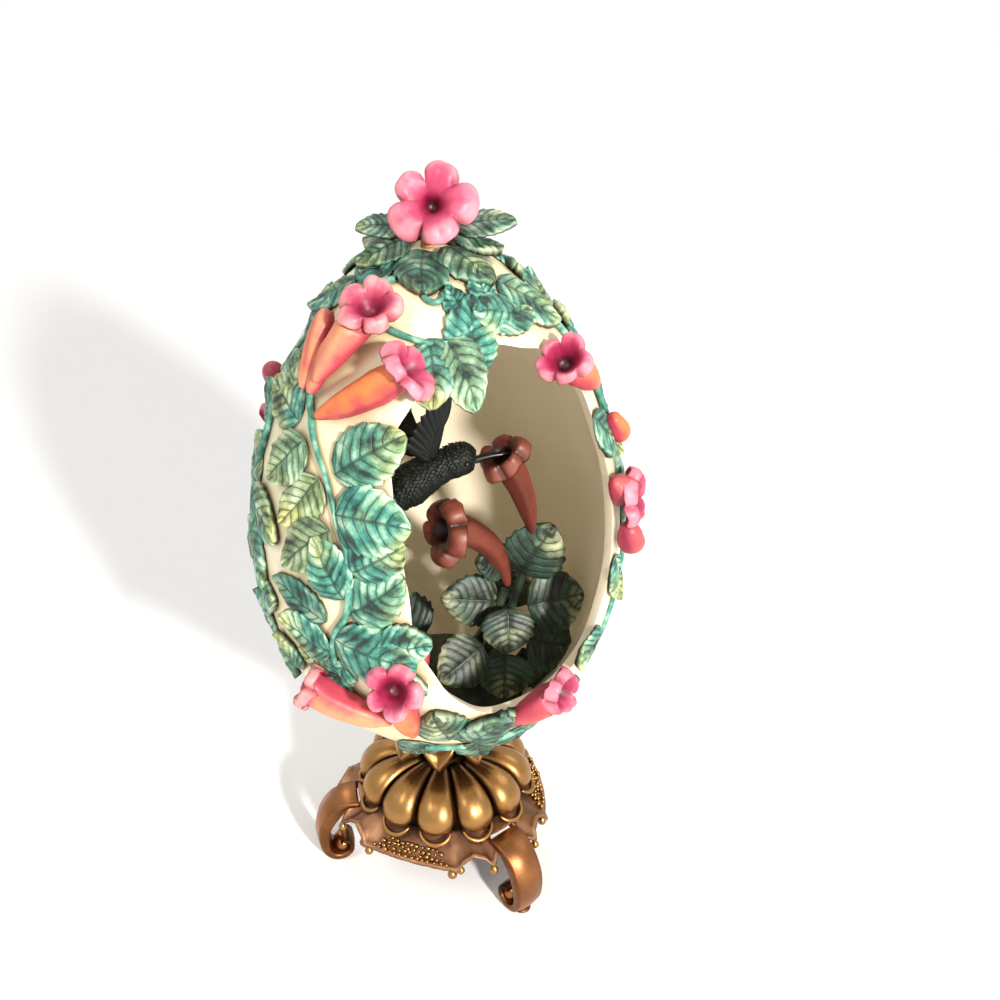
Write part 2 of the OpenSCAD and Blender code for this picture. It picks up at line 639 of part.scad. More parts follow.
// A bud is a drop turned about its own axis, laid on the egg along a heading.
function bud_profile(length, d) = [for (i = [0 : 10])
    let (f = i / 10) [d / 2 * sin(180 * f) ^ 0.7 * (1.15 - 0.35 * f), length * f]];
module bud(length, d) {
    rotate_extrude($fn = 32)
        polygon(concat(bud_profile(length, d), [[0, length]]));
}

// Turns the Z axis to a direction.
module point_to(p, way) {
    translate(p)
        rotate([0, acos(way.z), atan2(way.y, way.x)])
            children();
}

shell_bud_places = [[-82, 37, -3, 2.1, 0.95], [-78, 37, 8, 1.6, 0.85], [49, 24, 160, 0.95, 1],
                    [40, 3, 160, 1, 1.2], [150, 34, -20, 1, 1], [-140, 22, 30, 1, 1],
                    [100, -6, 20, 1, 1], [-176, -12, 10, 1, 1]];
module shell_buds() {
    color(coral)
        for (p = shell_bud_places) {
            lon = p[0];
            t = p[1];
            h = bud_d / 2 * p[4] + glue_gap;
            way = unit(north(lon, t) * cos(p[2]) + east(lon) * sin(p[2]));
            point_to(on_egg(lon, t, h), way)
                bud(bud_length * p[3], bud_d * p[4]);
        }
}

// A free leaf from its foot to its tip, with its upper face turned towards a direction.
module free_leaf(foot, tip, facing, width) {
    ahead = unit(tip - foot);
    side = unit(cross(ahead, facing));
    up = cross(side, ahead);
    length = norm(tip - foot);
    skin([for (f = leaf_outline)
        let (c = foot + ahead * length * f[0] - up * length * 0.12 * f[0] * f[0], w = width / 2 * f[1])
        [c - side * w + up * 0.7, c - side * w * 0.5 + up * 1.1, c + up * 1.2, c + side * w * 0.5 + up * 1.1,
         c + side * w + up * 0.8, c - up * 0.3]]);
}

// The finial: one open flower on two short stems, in a rosette of leaves.
egg_top = egg_centre + egg_half_height;
module finial_flower() {
    color(pink)
        trumpet([1.4, 1.8, egg_top + 2], [1, 0.2, egg_top + 5], [-0.6, -2.2, egg_top + 7.2], 7, 2.6);
}

module finial_stems() {
    color(coral)
        for (x = [-0.6, 3.2])
            tube([[x, -0.4, egg_top + glue_gap], [x + 0.2, -0.2, egg_top + 2],
                  [x * 0.4 + 0.9, 0.6, egg_top + 4.2]], [1, 0.9, 0.8], 8);
}

finial_places = [[-40, 84, 180, 9.5, 8.5, 0.3], [-95, 84, 180, 8.5, 7, 1.4], [15, 84, 178, 10, 8, 0.5],
                 [62, 84, 180, 8, 6.5, 1.2], [140, 84, 180, 9, 7.5, 1.3], [-150, 84, 180, 9, 7.5, 1.4]];
raised_leaves = [[[4.5, -0.5, 1.6], [12, -5.4, 3.6], 7], [[-3, 3, 1.6], [-9.5, 5.4, 3.4], 6],
                 [[1.6, 4.5, 1.6], [3, 11.4, 2], 6.5]];
module finial_leaves() {
    color(leaf_dark) {
        leaves(finial_places);
        for (p = raised_leaves)
            free_leaf(p[0] + [0, 0, egg_top], p[1] + [0, 0, egg_top], [0, -0.3, 1], p[2]);
    }
}

module finial_tendril() {
    turns = [for (i = [0 : 14]) let (a = 26 * i, r = 2.6 - 0.12 * i) [a, r]];
    centre = on_egg(-24, 70);
    path = [for (s = turns)
        draped(centre + east(-24) * s[1] * cos(s[0]) + north(-24, 70) * s[1] * sin(s[0]), 0.6)];
    color(leaf_green)
        tube(path, [for (p = path) 0.45], 6, [0.2, -0.4, 1]);
}

// The garden stands on a mound in the egg's foot. Heights are from the egg's middle.
function in_egg(p) = [p.x, p.y, p.z + egg_centre];
mound_lat = -62;
mound_rise = 2.4;
module garden_mound() {
    low = shell_lat(plug_radius, egg_radius - shell_wall) + 2;
    rim = inside_profile(low, mound_lat, 5, glue_gap);
    color(leaf_dark)
        rotate_extrude()
            polygon(concat(rim, [[rim[5].x - 3, rim[5].y + 0.8], [6, rim[5].y + mound_rise * 0.8],
                                 [0, rim[5].y + mound_rise], [0, plug_top + glue_gap],
                                 [rim[0].x - 0.3, plug_top + glue_gap]]));
}
mound_top = egg_z(mound_lat, -shell_wall - glue_gap) - egg_centre + mound_rise * 0.7;

// Each garden stem is a list of points from the mound to what it carries.
garden_paths = [
    [[6, -1, mound_top], [9.4, -3.4, -30], [11.8, -5.6, -22], [13.8, -6.6, -13], [14.4, -7.2, -7.6]],
    [[4, 0, mound_top], [7, -2, -30], [9, -4, -24], [10.4, -5.2, -18.6]],
    [[-2, 1, mound_top], [-6, 3, -32], [-11, 4, -26], [-14, 3, -21]],
    [[-3, -2, mound_top], [-5, -4, -35], [-7, -5.2, -30.4]],
    [[8, -5, mound_top], [10, -8, -34], [12, -9.6, -30]],
    [[6, 2, mound_top], [9.6, 1, -31], [13, -0.6, -26.2]],
    [[-1, 4, mound_top], [-0.6, 5, -34.4], [0, 5.8, -32.4]],
    [[2, -4, mound_top], [3.4, -6, -31.4], [4.4, -7, -28]]];
module garden_stems() {
    color(leaf_dark)
        for (p = garden_paths)
            let (path = spline([for (q = p) in_egg(q)], 2))
                tube(path, [for (q = path) 0.8], 6, [0.3, 1, 0.1]);
}

to_viewer = [-0.3, -0.85, 0.4];
garden_leaf_places = [
    [[12.6, -6.4, -15], [17.4, -9.6, -5.5], 9.5],
    [[12.5, -9, -20.5], [22.6, -12.6, -19.5], 10],
    [[12, -10, -27], [20, -12.8, -30], 10],
    [[8, -9.4, -29], [5.4, -13, -36], 9],
    [[4.5, -7.4, -27], [-5, -9, -30.5], 8.5],
    [[9.8, -4, -21.4], [-0.5, -2.4, -18.4], 8],
    [[9, -8.4, -20], [7, -12, -27], 8],
    [[10.6, -4.4, -12.6], [4.6, -6, -10.4], 6],
    [[13, -1, -26], [19, 7, -22], 9],
    [[0, 6, -32], [-5, 13, -26], 9],
    [[-8.5, 3.4, -29], [-15, -1, -33], 8],
    [[14, -8.6, -31], [16.6, -13, -38], 8]];
module garden_leaves() {
    color(leaf_dark)
        for (p = garden_leaf_places)
            free_leaf(in_egg(p[0]), in_egg(p[1]), to_viewer, p[2]);
}

// The high flower's face is where the beak goes in.
high_face = [8.4, -7.4, 10.4];
module inner_flower_high() {
    color(rust)
        trumpet(in_egg([14.6, -7.4, -6.8]), in_egg([13, -7.6, 3]), in_egg(high_face), 4.8, 2.6, slim = 1.3);
}

module inner_flower_mid() {
    color(rust)
        trumpet(in_egg([10.8, -5.6, -17.6]), in_egg([8, -6, -3.6]), in_egg([-2.6, -6.2, -1.2]), 6.2, 3.2,
                slim = 1.4);
}

module inner_flower_low() {
    color(rust)
        trumpet(in_egg([-14.4, 2.8, -20]), in_egg([-13.6, 1, -12]), in_egg([-9.4, -1.6, -11.2]), 4, 2.2);
}

module inner_bud() {
    color(coral)
        point_to(in_egg([-7.2, -5.3, -30]), unit([-0.1, -0.2, 1]))
            bud(bud_length, bud_d);
}

// The bird hovers at the high flower with its beak in the flower's mouth.
head_centre = [1.9, -4.6, 10.2];
tail_root = [-10.6, 2, 1];
module bird_body() {
    line = spline([in_egg(head_centre + [2.2, -1.1, -0.2]), in_egg(head_centre),
                   in_egg([-1.4, -3, 8.8]), in_egg([-5, -1.2, 6.2]), in_egg([-8, 0.4, 3.4]),
                   in_egg(tail_root)], 2);
    r = [0.5 * head_radius, 0.9 * head_radius, head_radius, 0.94 * head_radius, 0.92 * body_radius,
         body_radius, body_radius, 0.86 * body_radius, 0.66 * body_radius, 0.45 * body_radius,
         0.3 * body_radius];
    color(bird_green)
        tube(line, r, 12);
}

module wing(root, ahead, trail) {
    side = unit(trail - ahead * (trail * ahead));
    face = cross(ahead, side);
    sections = [[0, 0.8, 3.6, 0.7], [0.25, -0.2, 5.2, 0.6], [0.6, -0.4, 4.8, 0.5], [0.85, 0.6, 3.2, 0.4],
                [1, 2.2, 1, 0.25]];
    skin([for (s = sections)
        let (p = root + ahead * wing_length * s[0] + side * s[1])
        [p - face * s[3] / 2, p + side * s[2] - face * s[3] / 4, p + side * s[2] + face * s[3] / 4,
         p + face * s[3] / 2]]);
}

shoulder = in_egg([-3.6, -1.9, 9.8]);
module bird_wings() {
    color(bird_green) {
        wing(shoulder + [1, -1.6, 0.9], unit([0.22, -0.25, 1]), [-1, 0.35, -0.1]);
        wing(shoulder + [1.2, 1.8, 0.6], unit([0.1, 0.75, 0.8]), [-1, 0.3, -0.3]);
    }
}

module bird_tail() {
    way = unit([-0.62, 0.3, -0.76]);
    side = unit(cross(way, [0.4, 0.9, 0]));
    flat = cross(way, side);
    root = in_egg(tail_root) - way * 0.6;
    color(bird_green)
        skin([for (s = [[0, 1, 0.6], [4, 1.7, 0.5], [8, 2.5, 0.4], [9, 1.6, 0.3]])
            let (p = root + way * s[0])
            [p - side * s[1] - flat * s[2], p + side * s[1] - flat * s[2], p + side * s[1] + flat * s[2],
             p - side * s[1] + flat * s[2]]]);
}

beak_root = in_egg(head_centre + [2.2, -1.1, -0.2]);
beak_way = unit(in_egg(high_face) - beak_root);
module bird_beak() {
    color(bird_green)
        point_to(beak_root + beak_way * glue_gap, beak_way)
            cylinder(r1 = 0.7, r2 = 0.35, h = beak_length);
}

module bird_eyes() {
    across = unit(cross(beak_way, [0, 0, 1]));
    color("black")
        for (s = [-1, 1])
            translate(in_egg(head_centre) + [0.8, -0.4, 0.5] + across * s * head_radius * 0.98)
                sphere(r = 0.45);
}

stand_skirt();
skirt_drops();
grain_bands();
foot_front();
foot_right();
foot_left();
stand_bell();
bell_lobes();
lobe_cups();
crown_petals();
egg_seat();
tie_stud();
tie_nut();
tie_washer();
base_plug();
egg_shell();
vine_left();
vine_far_left();
vine_shoulder();
vine_right();
vine_base();
vine_back_right();
vine_back();
vine_back_left();
vine_top();
flower_upper_left();
flower_side_left();
flower_upper_right();
flower_mid_right();
flower_low_right();
flower_low_left();
flower_base_left();
flower_back_high();
flower_back_left();
flower_back_right();
flower_back_low();
shell_buds();
finial_flower();
finial_stems();
finial_leaves();
finial_tendril();
garden_mound();
garden_stems();
garden_leaves();
inner_flower_high();
inner_flower_mid();
inner_flower_low();
inner_bud();
bird_body();
bird_wings();
bird_tail();
bird_beak();
bird_eyes();
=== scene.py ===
# A decorative egg on a cast tripod stand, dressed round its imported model, in the same frame.
# Sizes here are in millimetres, as a maker would give them, and MM turns them to metres.
# The window faces -Y. Longitude 0 is the window's middle and grows towards +X.
import math

import bpy
import numpy as np
from mathutils import Matrix, Vector


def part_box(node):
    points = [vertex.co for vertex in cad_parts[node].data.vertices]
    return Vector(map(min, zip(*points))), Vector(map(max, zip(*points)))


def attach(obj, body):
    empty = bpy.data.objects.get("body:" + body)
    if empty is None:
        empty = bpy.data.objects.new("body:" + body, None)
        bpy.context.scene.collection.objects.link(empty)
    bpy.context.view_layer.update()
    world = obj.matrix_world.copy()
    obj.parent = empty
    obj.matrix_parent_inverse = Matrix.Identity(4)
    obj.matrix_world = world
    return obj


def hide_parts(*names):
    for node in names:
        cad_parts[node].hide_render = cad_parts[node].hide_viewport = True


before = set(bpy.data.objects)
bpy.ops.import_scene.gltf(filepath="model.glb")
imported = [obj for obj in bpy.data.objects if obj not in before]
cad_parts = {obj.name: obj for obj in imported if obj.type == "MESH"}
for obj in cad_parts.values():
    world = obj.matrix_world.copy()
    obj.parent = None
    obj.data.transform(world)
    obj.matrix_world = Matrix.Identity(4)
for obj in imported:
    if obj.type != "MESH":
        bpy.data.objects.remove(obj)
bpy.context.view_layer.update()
MM = 0.001


# Skirt: the flaring foot of the stand, cast in zinc alloy and gilded. Its edge rises at each foot
# and runs out to points, and a thin raised rim follows it. It is brazed under the bell's edge.
def colour(hex_code):
    """An sRGB hex code as the linear colour that the shader works in."""
    parts = [int(hex_code[i : i + 2], 16) / 255 for i in (1, 3, 5)]
    return [c / 12.92 if c <= 0.04045 else ((c + 0.055) / 1.055) ** 2.4 for c in parts] + [1.0]


def output(node, name=None):
    """A node's output in use: the one with this name, or else the first."""
    return next(s for s in node.outputs if s.enabled and name in (None, s.name))


def add_node(tree, kind, inputs=None, stops=None, **settings):
    """Adds a node, a shader's unless its kind says otherwise.

    An input is a value, a node whose first output it takes, or (node, output name).
    """
    node = tree.nodes.new(kind if "Node" in kind else "ShaderNode" + kind)
    for key, value in settings.items():
        setattr(node, key, value)
    for key, value in (inputs or {}).items():
        socket = next(s for i, s in enumerate(node.inputs)
                      if s.enabled and key in (i, s.name, s.identifier))
        if isinstance(value, bpy.types.Node):
            value = (value, None)
        if isinstance(value, tuple) and isinstance(value[0], bpy.types.Node):
            tree.links.new(output(*value), socket)
        else:
            socket.default_value = value
    if stops:
        elements = node.color_ramp.elements
        while len(elements) < len(stops):
            elements.new(0.5)
        for element, (place, hex_code) in zip(elements, stops):
            element.position = place
            element.color = colour(hex_code)
    return node


def new_finish(name, sockets):
    """A material with one Principled shader, whose even values are set on its own sockets."""
    material = bpy.data.materials.new(name)
    material.use_nodes = True
    tree = material.node_tree
    tree.nodes.clear()
    shader = add_node(tree, "BsdfPrincipled", sockets)
    add_node(tree, "OutputMaterial", {"Surface": shader})
    return material, tree, shader


def paint_marks(tree):
    """What a finish reads: the place on the piece, its paint marks, and those split in three."""
    mark = add_node(tree, "Attribute", attribute_name="paint")
    marks = add_node(tree, "SeparateColor", {"Color": (mark, "Color")})
    return (add_node(tree, "TexCoord"), "Object"), mark, marks


def spots(size):
    """A texture's scale, from the size of its spots in mm."""
    return round(1000 / size)


def lay_on(tree, shader, paint, relief, strength, depth):
    """Gives the shader its colour, and its fine relief to a depth in mm."""
    tree.links.new(output(paint), shader.inputs["Base Color"])
    bump = add_node(tree, "Bump", {"Height": relief, "Strength": strength, "Distance": depth * MM})
    tree.links.new(output(bump), shader.inputs["Normal"])


def gilt(name, bright, low, wash_and_shade, cover, satin=0.33):
    """Gilded zinc: bright where hands rub it, and brown to dark where its red paint mark is low, which is
    antique wash in grooves and painted shade on undersides.
    """
    material, tree, shader = new_finish(name, {"Metallic": 1.0})
    place, _, marks = paint_marks(tree)
    blotch = add_node(tree, "TexNoise", {"Vector": place, "Scale": spots(3.85), "Detail": 5.0})
    grit = add_node(tree, "TexNoise", {"Vector": place, "Scale": spots(0.6667), "Detail": 3.0})
    spread = add_node(tree, "Math", {0: blotch, 1: -0.5}, operation="ADD")
    # Rubbed is low in grooves and on undersides, where the darkest colour paints antique wash and painted
    # shade.
    rubbed = add_node(tree, "Math", {0: spread, 1: 0.75, 2: (marks, "Red")}, operation="MULTIPLY_ADD")
    shade = add_node(tree, "ValToRGB", {"Fac": rubbed},
                     stops=[(0.0, wash_and_shade), (cover, wash_and_shade), (cover + 0.28, low), (0.92, bright)])
    rough = add_node(tree, "MapRange", {"Value": rubbed, "From Min": 0.1, "From Max": 0.9,
                                        "To Min": satin + 0.2, "To Max": satin})
    tree.links.new(output(rough), shader.inputs["Roughness"])
    lay_on(tree, shader, shade, grit, 0.22, 0.12)
    return material


def mesh_piece(name, points, faces, finish, paint=None):
    """A smooth mesh from points in mm. Paint is three or four marks a point, which its finish reads."""
    mesh = bpy.data.meshes.new(name)
    mesh.from_pydata((np.asarray(points, float).reshape(-1, 3) * MM).tolist(), [], faces)
    mesh.shade_smooth()
    if paint is not None:
        layer = mesh.attributes.new("paint", "FLOAT_COLOR", "POINT")
        marks = np.ones((len(paint), 4))
        marks[:, : np.shape(paint)[1]] = np.clip(paint, 0, 1)
        layer.data.foreach_set("color", marks.ravel())
    mesh.materials.append(finish)
    piece = bpy.data.objects.new(name, mesh)
    bpy.context.scene.collection.objects.link(piece)
    return piece


def belongs(piece, slot, *nodes):
    """The piece is fixed to the rest and stands for these nodes, whose solids are hidden. The slot is not
    used.
    """
    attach(piece, "root")
    if nodes:
        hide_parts(*nodes)


def grid_faces(rows, columns, wrap_rows=False, wrap_columns=False):
    """Quads over a grid of points, which face along (next column) x (next row)."""
    i = np.arange(rows if wrap_rows else rows - 1)[:, None] * np.ones(1, int)
    k = np.arange(columns if wrap_columns else columns - 1)[None, :]
    i, k = np.broadcast_arrays(i, k)
    j, m = (i + 1) % rows, (k + 1) % columns
    corners = [i * columns + k, i * columns + m, j * columns + m, j * columns + k]
    return np.stack(corners, -1).reshape(-1, 4).tolist()


gold_bright = gilt("antique gilt zinc", "#a07848", "#6c4a29", "#24150a", 0.04)
# The darker gilt is for the bell, seen only in the grooves between the lobes, and for the seat under the egg:
# wash and painted shade.
gold_washed_and_shaded = gilt("gilt zinc left dark by the wash", "#8a6436", "#55361a", "#1c1008", 0.25)

foot_turn = 9.0
foot_step = 120.0
bell_foot = 16.6
bell_radius = 14.4
skirt_wall = 1.0
edge_reach = [(0, 17.2), (9.2, 17.2), (9.6, 20.4), (13.5, 22), (17, 20.9), (23, 20.2), (29, 20.3),
              (32.5, 20.9), (37, 20.1), (48, 19.6), (60, 19.4)]
edge_height = [(0, 15.8), (9.2, 15.8), (9.6, 13.9), (13.5, 12.6), (17, 14), (23, 14.8), (29, 13.3),
               (32.5, 11.9), (37, 12), (48, 12.3), (60, 12.4)]


def round_stand(r, turn, z):
    """A point on the stand, at a radius, an angle from the front foot and a height."""
    a = np.radians(foot_turn + turn)
    return np.stack(np.broadcast_arrays(r * np.sin(a), -r * np.cos(a), z), -1)


def skirt_line(turn, f):
    """The skirt's outside as (radius, height), from the bell (f = 0) to its edge (f = 1)."""
    near = np.abs((turn + foot_step / 2) % foot_step - foot_step / 2)
    far = np.interp(near, *zip(*edge_reach))
    low = np.interp(near, *zip(*edge_height))
    r = bell_radius + (far - bell_radius) * (0.35 * f + 0.65 * f**1.6)
    z = bell_foot + (low - bell_foot) * (1.25 * f - 0.25 * f**2)
    ridge = np.exp(-(((near - 32.5) / 3.2) ** 2)) + 0.7 * np.exp(-(((near - 14) / 2.4) ** 2))
    rim = np.exp(-(((f - 0.93) / 0.05) ** 2))
    return r, z + 0.22 * ridge * np.sin(np.pi * f) ** 0.8 + 0.35 * rim * (near > 9.4), rim, ridge


def skirt():
    """The skirt's closed skin: over its top, round its edge and back underneath."""
    steps = sorted({round(i * foot_step + s * a, 3) for i in range(3) for s in (-1, 1)
                    for a in [9.2, 9.6, *np.arange(0, 60.1, 1.0)]})
    turn = np.array([a for a in steps if -60 <= a < 300])[:, None]
    f = np.array([0, 0.12, 0.25, 0.38, 0.5, 0.62, 0.73, 0.82, 0.88, 0.93, 0.97, 1.0])[None, :]
    r, z, rim, ridge = skirt_line(turn, f)
    grit = 0.07 * np.sin(turn * 1.9 + f * 17) * np.sin(turn * 0.83 - f * 9)
    top = round_stand(r, turn, z + grit * f)
    back = np.array([1.0, 0.75, 0.4, 0.0])[None, :]
    r_back, z_back, _, _ = skirt_line(turn, back)
    under = round_stand(r_back - skirt_wall * back, turn, z_back - skirt_wall * (1.15 - 0.6 * back**3))
    inner = round_stand(bell_radius - 1.4, turn, np.array([[bell_foot - 1.4, bell_foot - 0.1]]))
    points = np.concatenate([top, under, inner], 1)
    # Red mark: high on the rim and ridges, where the gilt is rubbed; lower towards the bell, as wash and
    # painted shade; and low on the underside and inside, as painted shade.
    height = np.clip(0.62 + 0.35 * rim + 0.3 * ridge * np.sin(np.pi * f) - 0.5 * (1 - f) ** 2, 0, 1)
    marks = np.zeros(points.shape)
    marks[:, : f.size, 0] = height
    marks[:, f.size :, 0] = 0.25
    rows, columns = points.shape[:2]
    return mesh_piece("Stand_skirt", points, grid_faces(rows, columns, True, True), gold_rose,
                      marks.reshape(-1, 3))


gold_rose = gilt("rose gilt zinc", "#977053", "#654534", "#321d13", 0.05, 0.44)
belongs(skirt(), "gilt_metal", "stand_skirt")


# Feet: three cast scrolls, each a thick band that comes out of the skirt, drops to the table and
# curls back round a ball. They are cast with a small flat pad to stand on, and gilded.
def unit(v):
    """Vectors brought to a length of one."""
    return v / np.maximum(np.linalg.norm(v, axis=-1, keepdims=True), 1e-12)


def smooth_line(points, steps):
    """A smooth curve through points, with some steps between each pair."""
    p = np.asarray(points, float)
    p = np.concatenate([p[:1], p, p[-1:]])
    f = (np.arange(steps) / steps)[:, None]
    runs = [b + 0.5 * f * (c - a + f * (2 * a - 5 * b + 4 * c - d + f * (3 * b - a - 3 * c + d)))
            for a, b, c, d in zip(p, p[1:], p[2:], p[3:])]
    return np.concatenate([*runs, p[-2:-1]])


def loft(name, rings, finish, paint=None):
    """A closed skin over rings, which turn anticlockwise about the way ahead, closed at both ends."""
    rows, columns = rings.shape[:2]
    ends = np.stack([rings[0].mean(0), rings[-1].mean(0)])
    points = np.concatenate([rings.reshape(-1, 3), ends])
    first, last = rows * columns, rows * columns + 1
    faces = grid_faces(rows, columns, False, True)
    for k in range(columns):
        m = (k + 1) % columns
        faces += [[m, k, first], [(rows - 1) * columns + k, (rows - 1) * columns + m, last]]
    if paint is not None:
        paint = np.concatenate([paint.reshape(rows * columns, -1), paint[:1].mean(1), paint[-1:].mean(1)])
    return mesh_piece(name, points, faces, finish, paint)


def joined(name, pieces):
    """Several meshes as one piece."""
    with bpy.context.temp_override(active_object=pieces[0], selected_editable_objects=pieces):
        bpy.ops.object.join()
    pieces[0].name = name
    return pieces[0]


def ball(centre, radius, finish, height=0.85, stretch=1.0):
    """A round cast ball, with one rub mark all over, which may be stretched along Y."""
    t = np.linspace(-89, 89, 13)[:, None]
    a = np.arange(0, 360, 18.0)[None, :]
    t, a = np.radians(t), np.radians(a)
    way = np.stack(np.broadcast_arrays(np.cos(t) * np.cos(a), stretch * np.cos(t) * np.sin(a), np.sin(t)), -1)
    marks = np.zeros(way.shape)
    marks[..., 0] = height
    return loft("Ball", np.asarray(centre) + radius * way, finish, marks)


foot_circle = 23.6
foot_width = 6.8
scroll_line = [(-6.2, 14.9, 0.7), (-3.8, 14.5, 1.4), (-1.4, 12.6, 2), (0.6, 9.2, 1.85), (1.1, 5.6, 1.5),
               (0.6, 2.7, 1.2), (-0.8, 1.25, 1.1), (-2.6, 1.15, 0.95), (-4.0, 2.2, 0.8), (-4.2, 3.7, 0.65),
               (-3.2, 4.7, 0.5), (-2.1, 4.3, 0.35)]
band_sides = 28
gold_brown = gilt("brown gilt zinc", "#97653f", "#684026", "#26150c", 0.04)


def scroll_foot(name, turn):
    """A band along the scroll's line, its ball and its pad, turned to the foot's own angle."""
    line = smooth_line([(foot_circle + x, 0, z) for x, z, _ in scroll_line], 5)
    half = smooth_line([(h, 0, 0) for _, _, h in scroll_line], 5)[:, :1]
    ahead = unit(np.gradient(line, axis=0))[:, None]
    side = np.array([0, 1.0, 0])
    share = np.linspace(0, 1, len(line))[:, None]
    wide = foot_width / 2 * (1 - 0.28 * share)
    a = np.linspace(0, 2 * np.pi, band_sides, endpoint=False)[None, :]
    flat = np.sign(np.cos(a)) * np.abs(np.cos(a)) ** 0.55
    tall = np.sign(np.sin(a)) * np.abs(np.sin(a)) ** 0.7
    middle_ridge = 0.16 * np.exp(-((np.cos(a) / 0.22) ** 2))
    edge_ridges = 0.2 * np.exp(-(((np.abs(np.cos(a)) - 0.86) / 0.1) ** 2))
    depth = half * tall * (0.8 + (middle_ridge + edge_ridges))
    sideways = np.cross(side, ahead)
    points = line[:, None] + sideways * depth[..., None] + side * (wide * flat)[..., None]
    marks = np.zeros(points.shape)
    # Red mark: darker towards the band's edges and round the curl, as wash and painted shade; the pad under
    # the foot is low, as painted shade.
    marks[..., 0] = 0.8 - 0.35 * np.abs(flat) ** 3 - 0.3 * (share > 0.72)
    pad_angle = np.linspace(0, 2 * np.pi, 20, endpoint=False)
    pad = np.stack([[foot_circle - 0.6 + r * np.cos(pad_angle), r * np.sin(pad_angle), z + 0 * pad_angle]
                    for r, z in ((1.55, 0.0), (1.7, 0.12), (1.7, 0.4))]).transpose(0, 2, 1)
    marks_pad = np.full(pad.shape, 0.4)
    made = [loft(name, points, gold_brown, marks),
            ball((foot_circle - 2.4, 0, 3.1), 1.75, gold_brown, 0.95, 1.35),
            loft("Pad", pad, gold_brown, marks_pad)]
    foot = joined(name, made)
    a = math.radians(foot_turn + turn - 90)
    co = np.array([v.co for v in foot.data.vertices])
    spun = np.stack([co[:, 0] * math.cos(a) - co[:, 1] * math.sin(a),
                     co[:, 0] * math.sin(a) + co[:, 1] * math.cos(a), co[:, 2]], -1)
    foot.data.vertices.foreach_set("co", spun.ravel())
    foot.data.update()
    belongs(foot, "gilt_metal", name.lower())


scroll_foot("Foot_front", 0)
scroll_foot("Foot_right", foot_step)
scroll_foot("Foot_left", -foot_step)


# Drops and grains: cast drops hang from the skirt's points, and rows of round grains lie over each
# long edge. Each is one small shape set many times along the skirt's own lines.
def making_tree(name, inputs):
    """A tree of geometry nodes that takes a geometry, these inputs and a finish."""
    tree = bpy.data.node_groups.new(name, "GeometryNodeTree")
    tree.interface.new_socket("Geometry", in_out="OUTPUT", socket_type="NodeSocketGeometry")
    for port, kind in {"Geometry": "Geometry", **inputs, "Finish": "Material"}.items():
        tree.interface.new_socket(port, in_out="INPUT", socket_type="NodeSocket" + kind)
    return tree, add_node(tree, "NodeGroupInput")


def give_out(tree, given, made):
    """Ends a tree: what it made becomes real, takes the finish and is given out."""
    real = add_node(tree, "GeometryNodeRealizeInstances", {"Geometry": made})
    finished = add_node(tree, "GeometryNodeSetMaterial", {"Geometry": real, "Material": (given, "Finish")})
    add_node(tree, "NodeGroupOutput", {0: finished})


def copies_tree():
    """Sets copies of one object on points, turned by their out and ahead marks."""
    tree, given = making_tree("Copies on points",
                              {"Copy": "Object", "Spread of size": "Float", "Seed": "Int"})
    out = add_node(tree, "GeometryNodeInputNamedAttribute", {"Name": "out"}, data_type="FLOAT_VECTOR")
    ahead = add_node(tree, "GeometryNodeInputNamedAttribute", {"Name": "ahead"}, data_type="FLOAT_VECTOR")
    size = add_node(tree, "GeometryNodeInputNamedAttribute", {"Name": "size"}, data_type="FLOAT_VECTOR")
    least = add_node(tree, "Math", {0: 1.0, 1: (given, "Spread of size")}, operation="SUBTRACT")
    most = add_node(tree, "Math", {0: 1.0, 1: (given, "Spread of size")}, operation="ADD")
    luck = add_node(tree, "FunctionNodeRandomValue", {"Min": least, "Max": most, "Seed": (given, "Seed")},
                    data_type="FLOAT")
    scale = add_node(tree, "VectorMath", {0: size, "Scale": luck}, operation="SCALE")
    turn = add_node(tree, "FunctionNodeAxesToRotation", {0: out, 1: ahead},
                    primary_axis="Z", secondary_axis="Y")
    copy = add_node(tree, "GeometryNodeObjectInfo", {"Object": (given, "Copy")}, transform_space="ORIGINAL")
    dots = add_node(tree, "GeometryNodeMeshToPoints", {"Mesh": (given, "Geometry")})
    placed = add_node(tree, "GeometryNodeInstanceOnPoints",
                      {"Points": dots, "Instance": (copy, "Geometry"), "Rotation": turn, "Scale": scale})
    give_out(tree, given, placed)
    return tree


def as_plain_mesh(piece):
    """Leaves what the piece's modifiers make as its own mesh."""
    bpy.context.view_layer.update()
    made = bpy.data.meshes.new_from_object(piece.evaluated_get(bpy.context.evaluated_depsgraph_get()))
    piece.modifiers.clear()
    made.name = piece.name
    made.shade_smooth()
    piece.data = made


def made_by_nodes(piece, tree, **values):
    """Runs a node tree on a piece and leaves the result as its plain mesh."""
    modifier = piece.modifiers.new("Making", "NODES")
    modifier.node_group = tree
    for port in tree.interface.items_tree:
        if port.in_out == "INPUT" and port.name in values:
            modifier[port.identifier] = values[port.name]
    as_plain_mesh(piece)


def set_copies(name, copy, places, out, ahead, size, spread=0.0, seed=1):
    """Copies of a one-millimetre shape on places in mm, each with its own turn and size."""
    mesh = bpy.data.meshes.new(name)
    mesh.from_pydata((np.asarray(places) * MM).tolist(), [], [])
    for key, values in (("out", out), ("ahead", ahead), ("size", size)):
        layer = mesh.attributes.new(key, "FLOAT_VECTOR", "POINT")
        layer.data.foreach_set("vector", np.broadcast_to(values, (len(places), 3)).astype(float).ravel())
    piece = bpy.data.objects.new(name, mesh)
    bpy.context.scene.collection.objects.link(piece)
    finish = copy.data.materials[0]
    made_by_nodes(piece, copies, **{"Copy": copy, "Spread of size": spread, "Seed": seed, "Finish": finish})
    bpy.data.objects.remove(copy)
    return piece


copies = copies_tree()
drop_d = 1.7
grain_d = 0.8


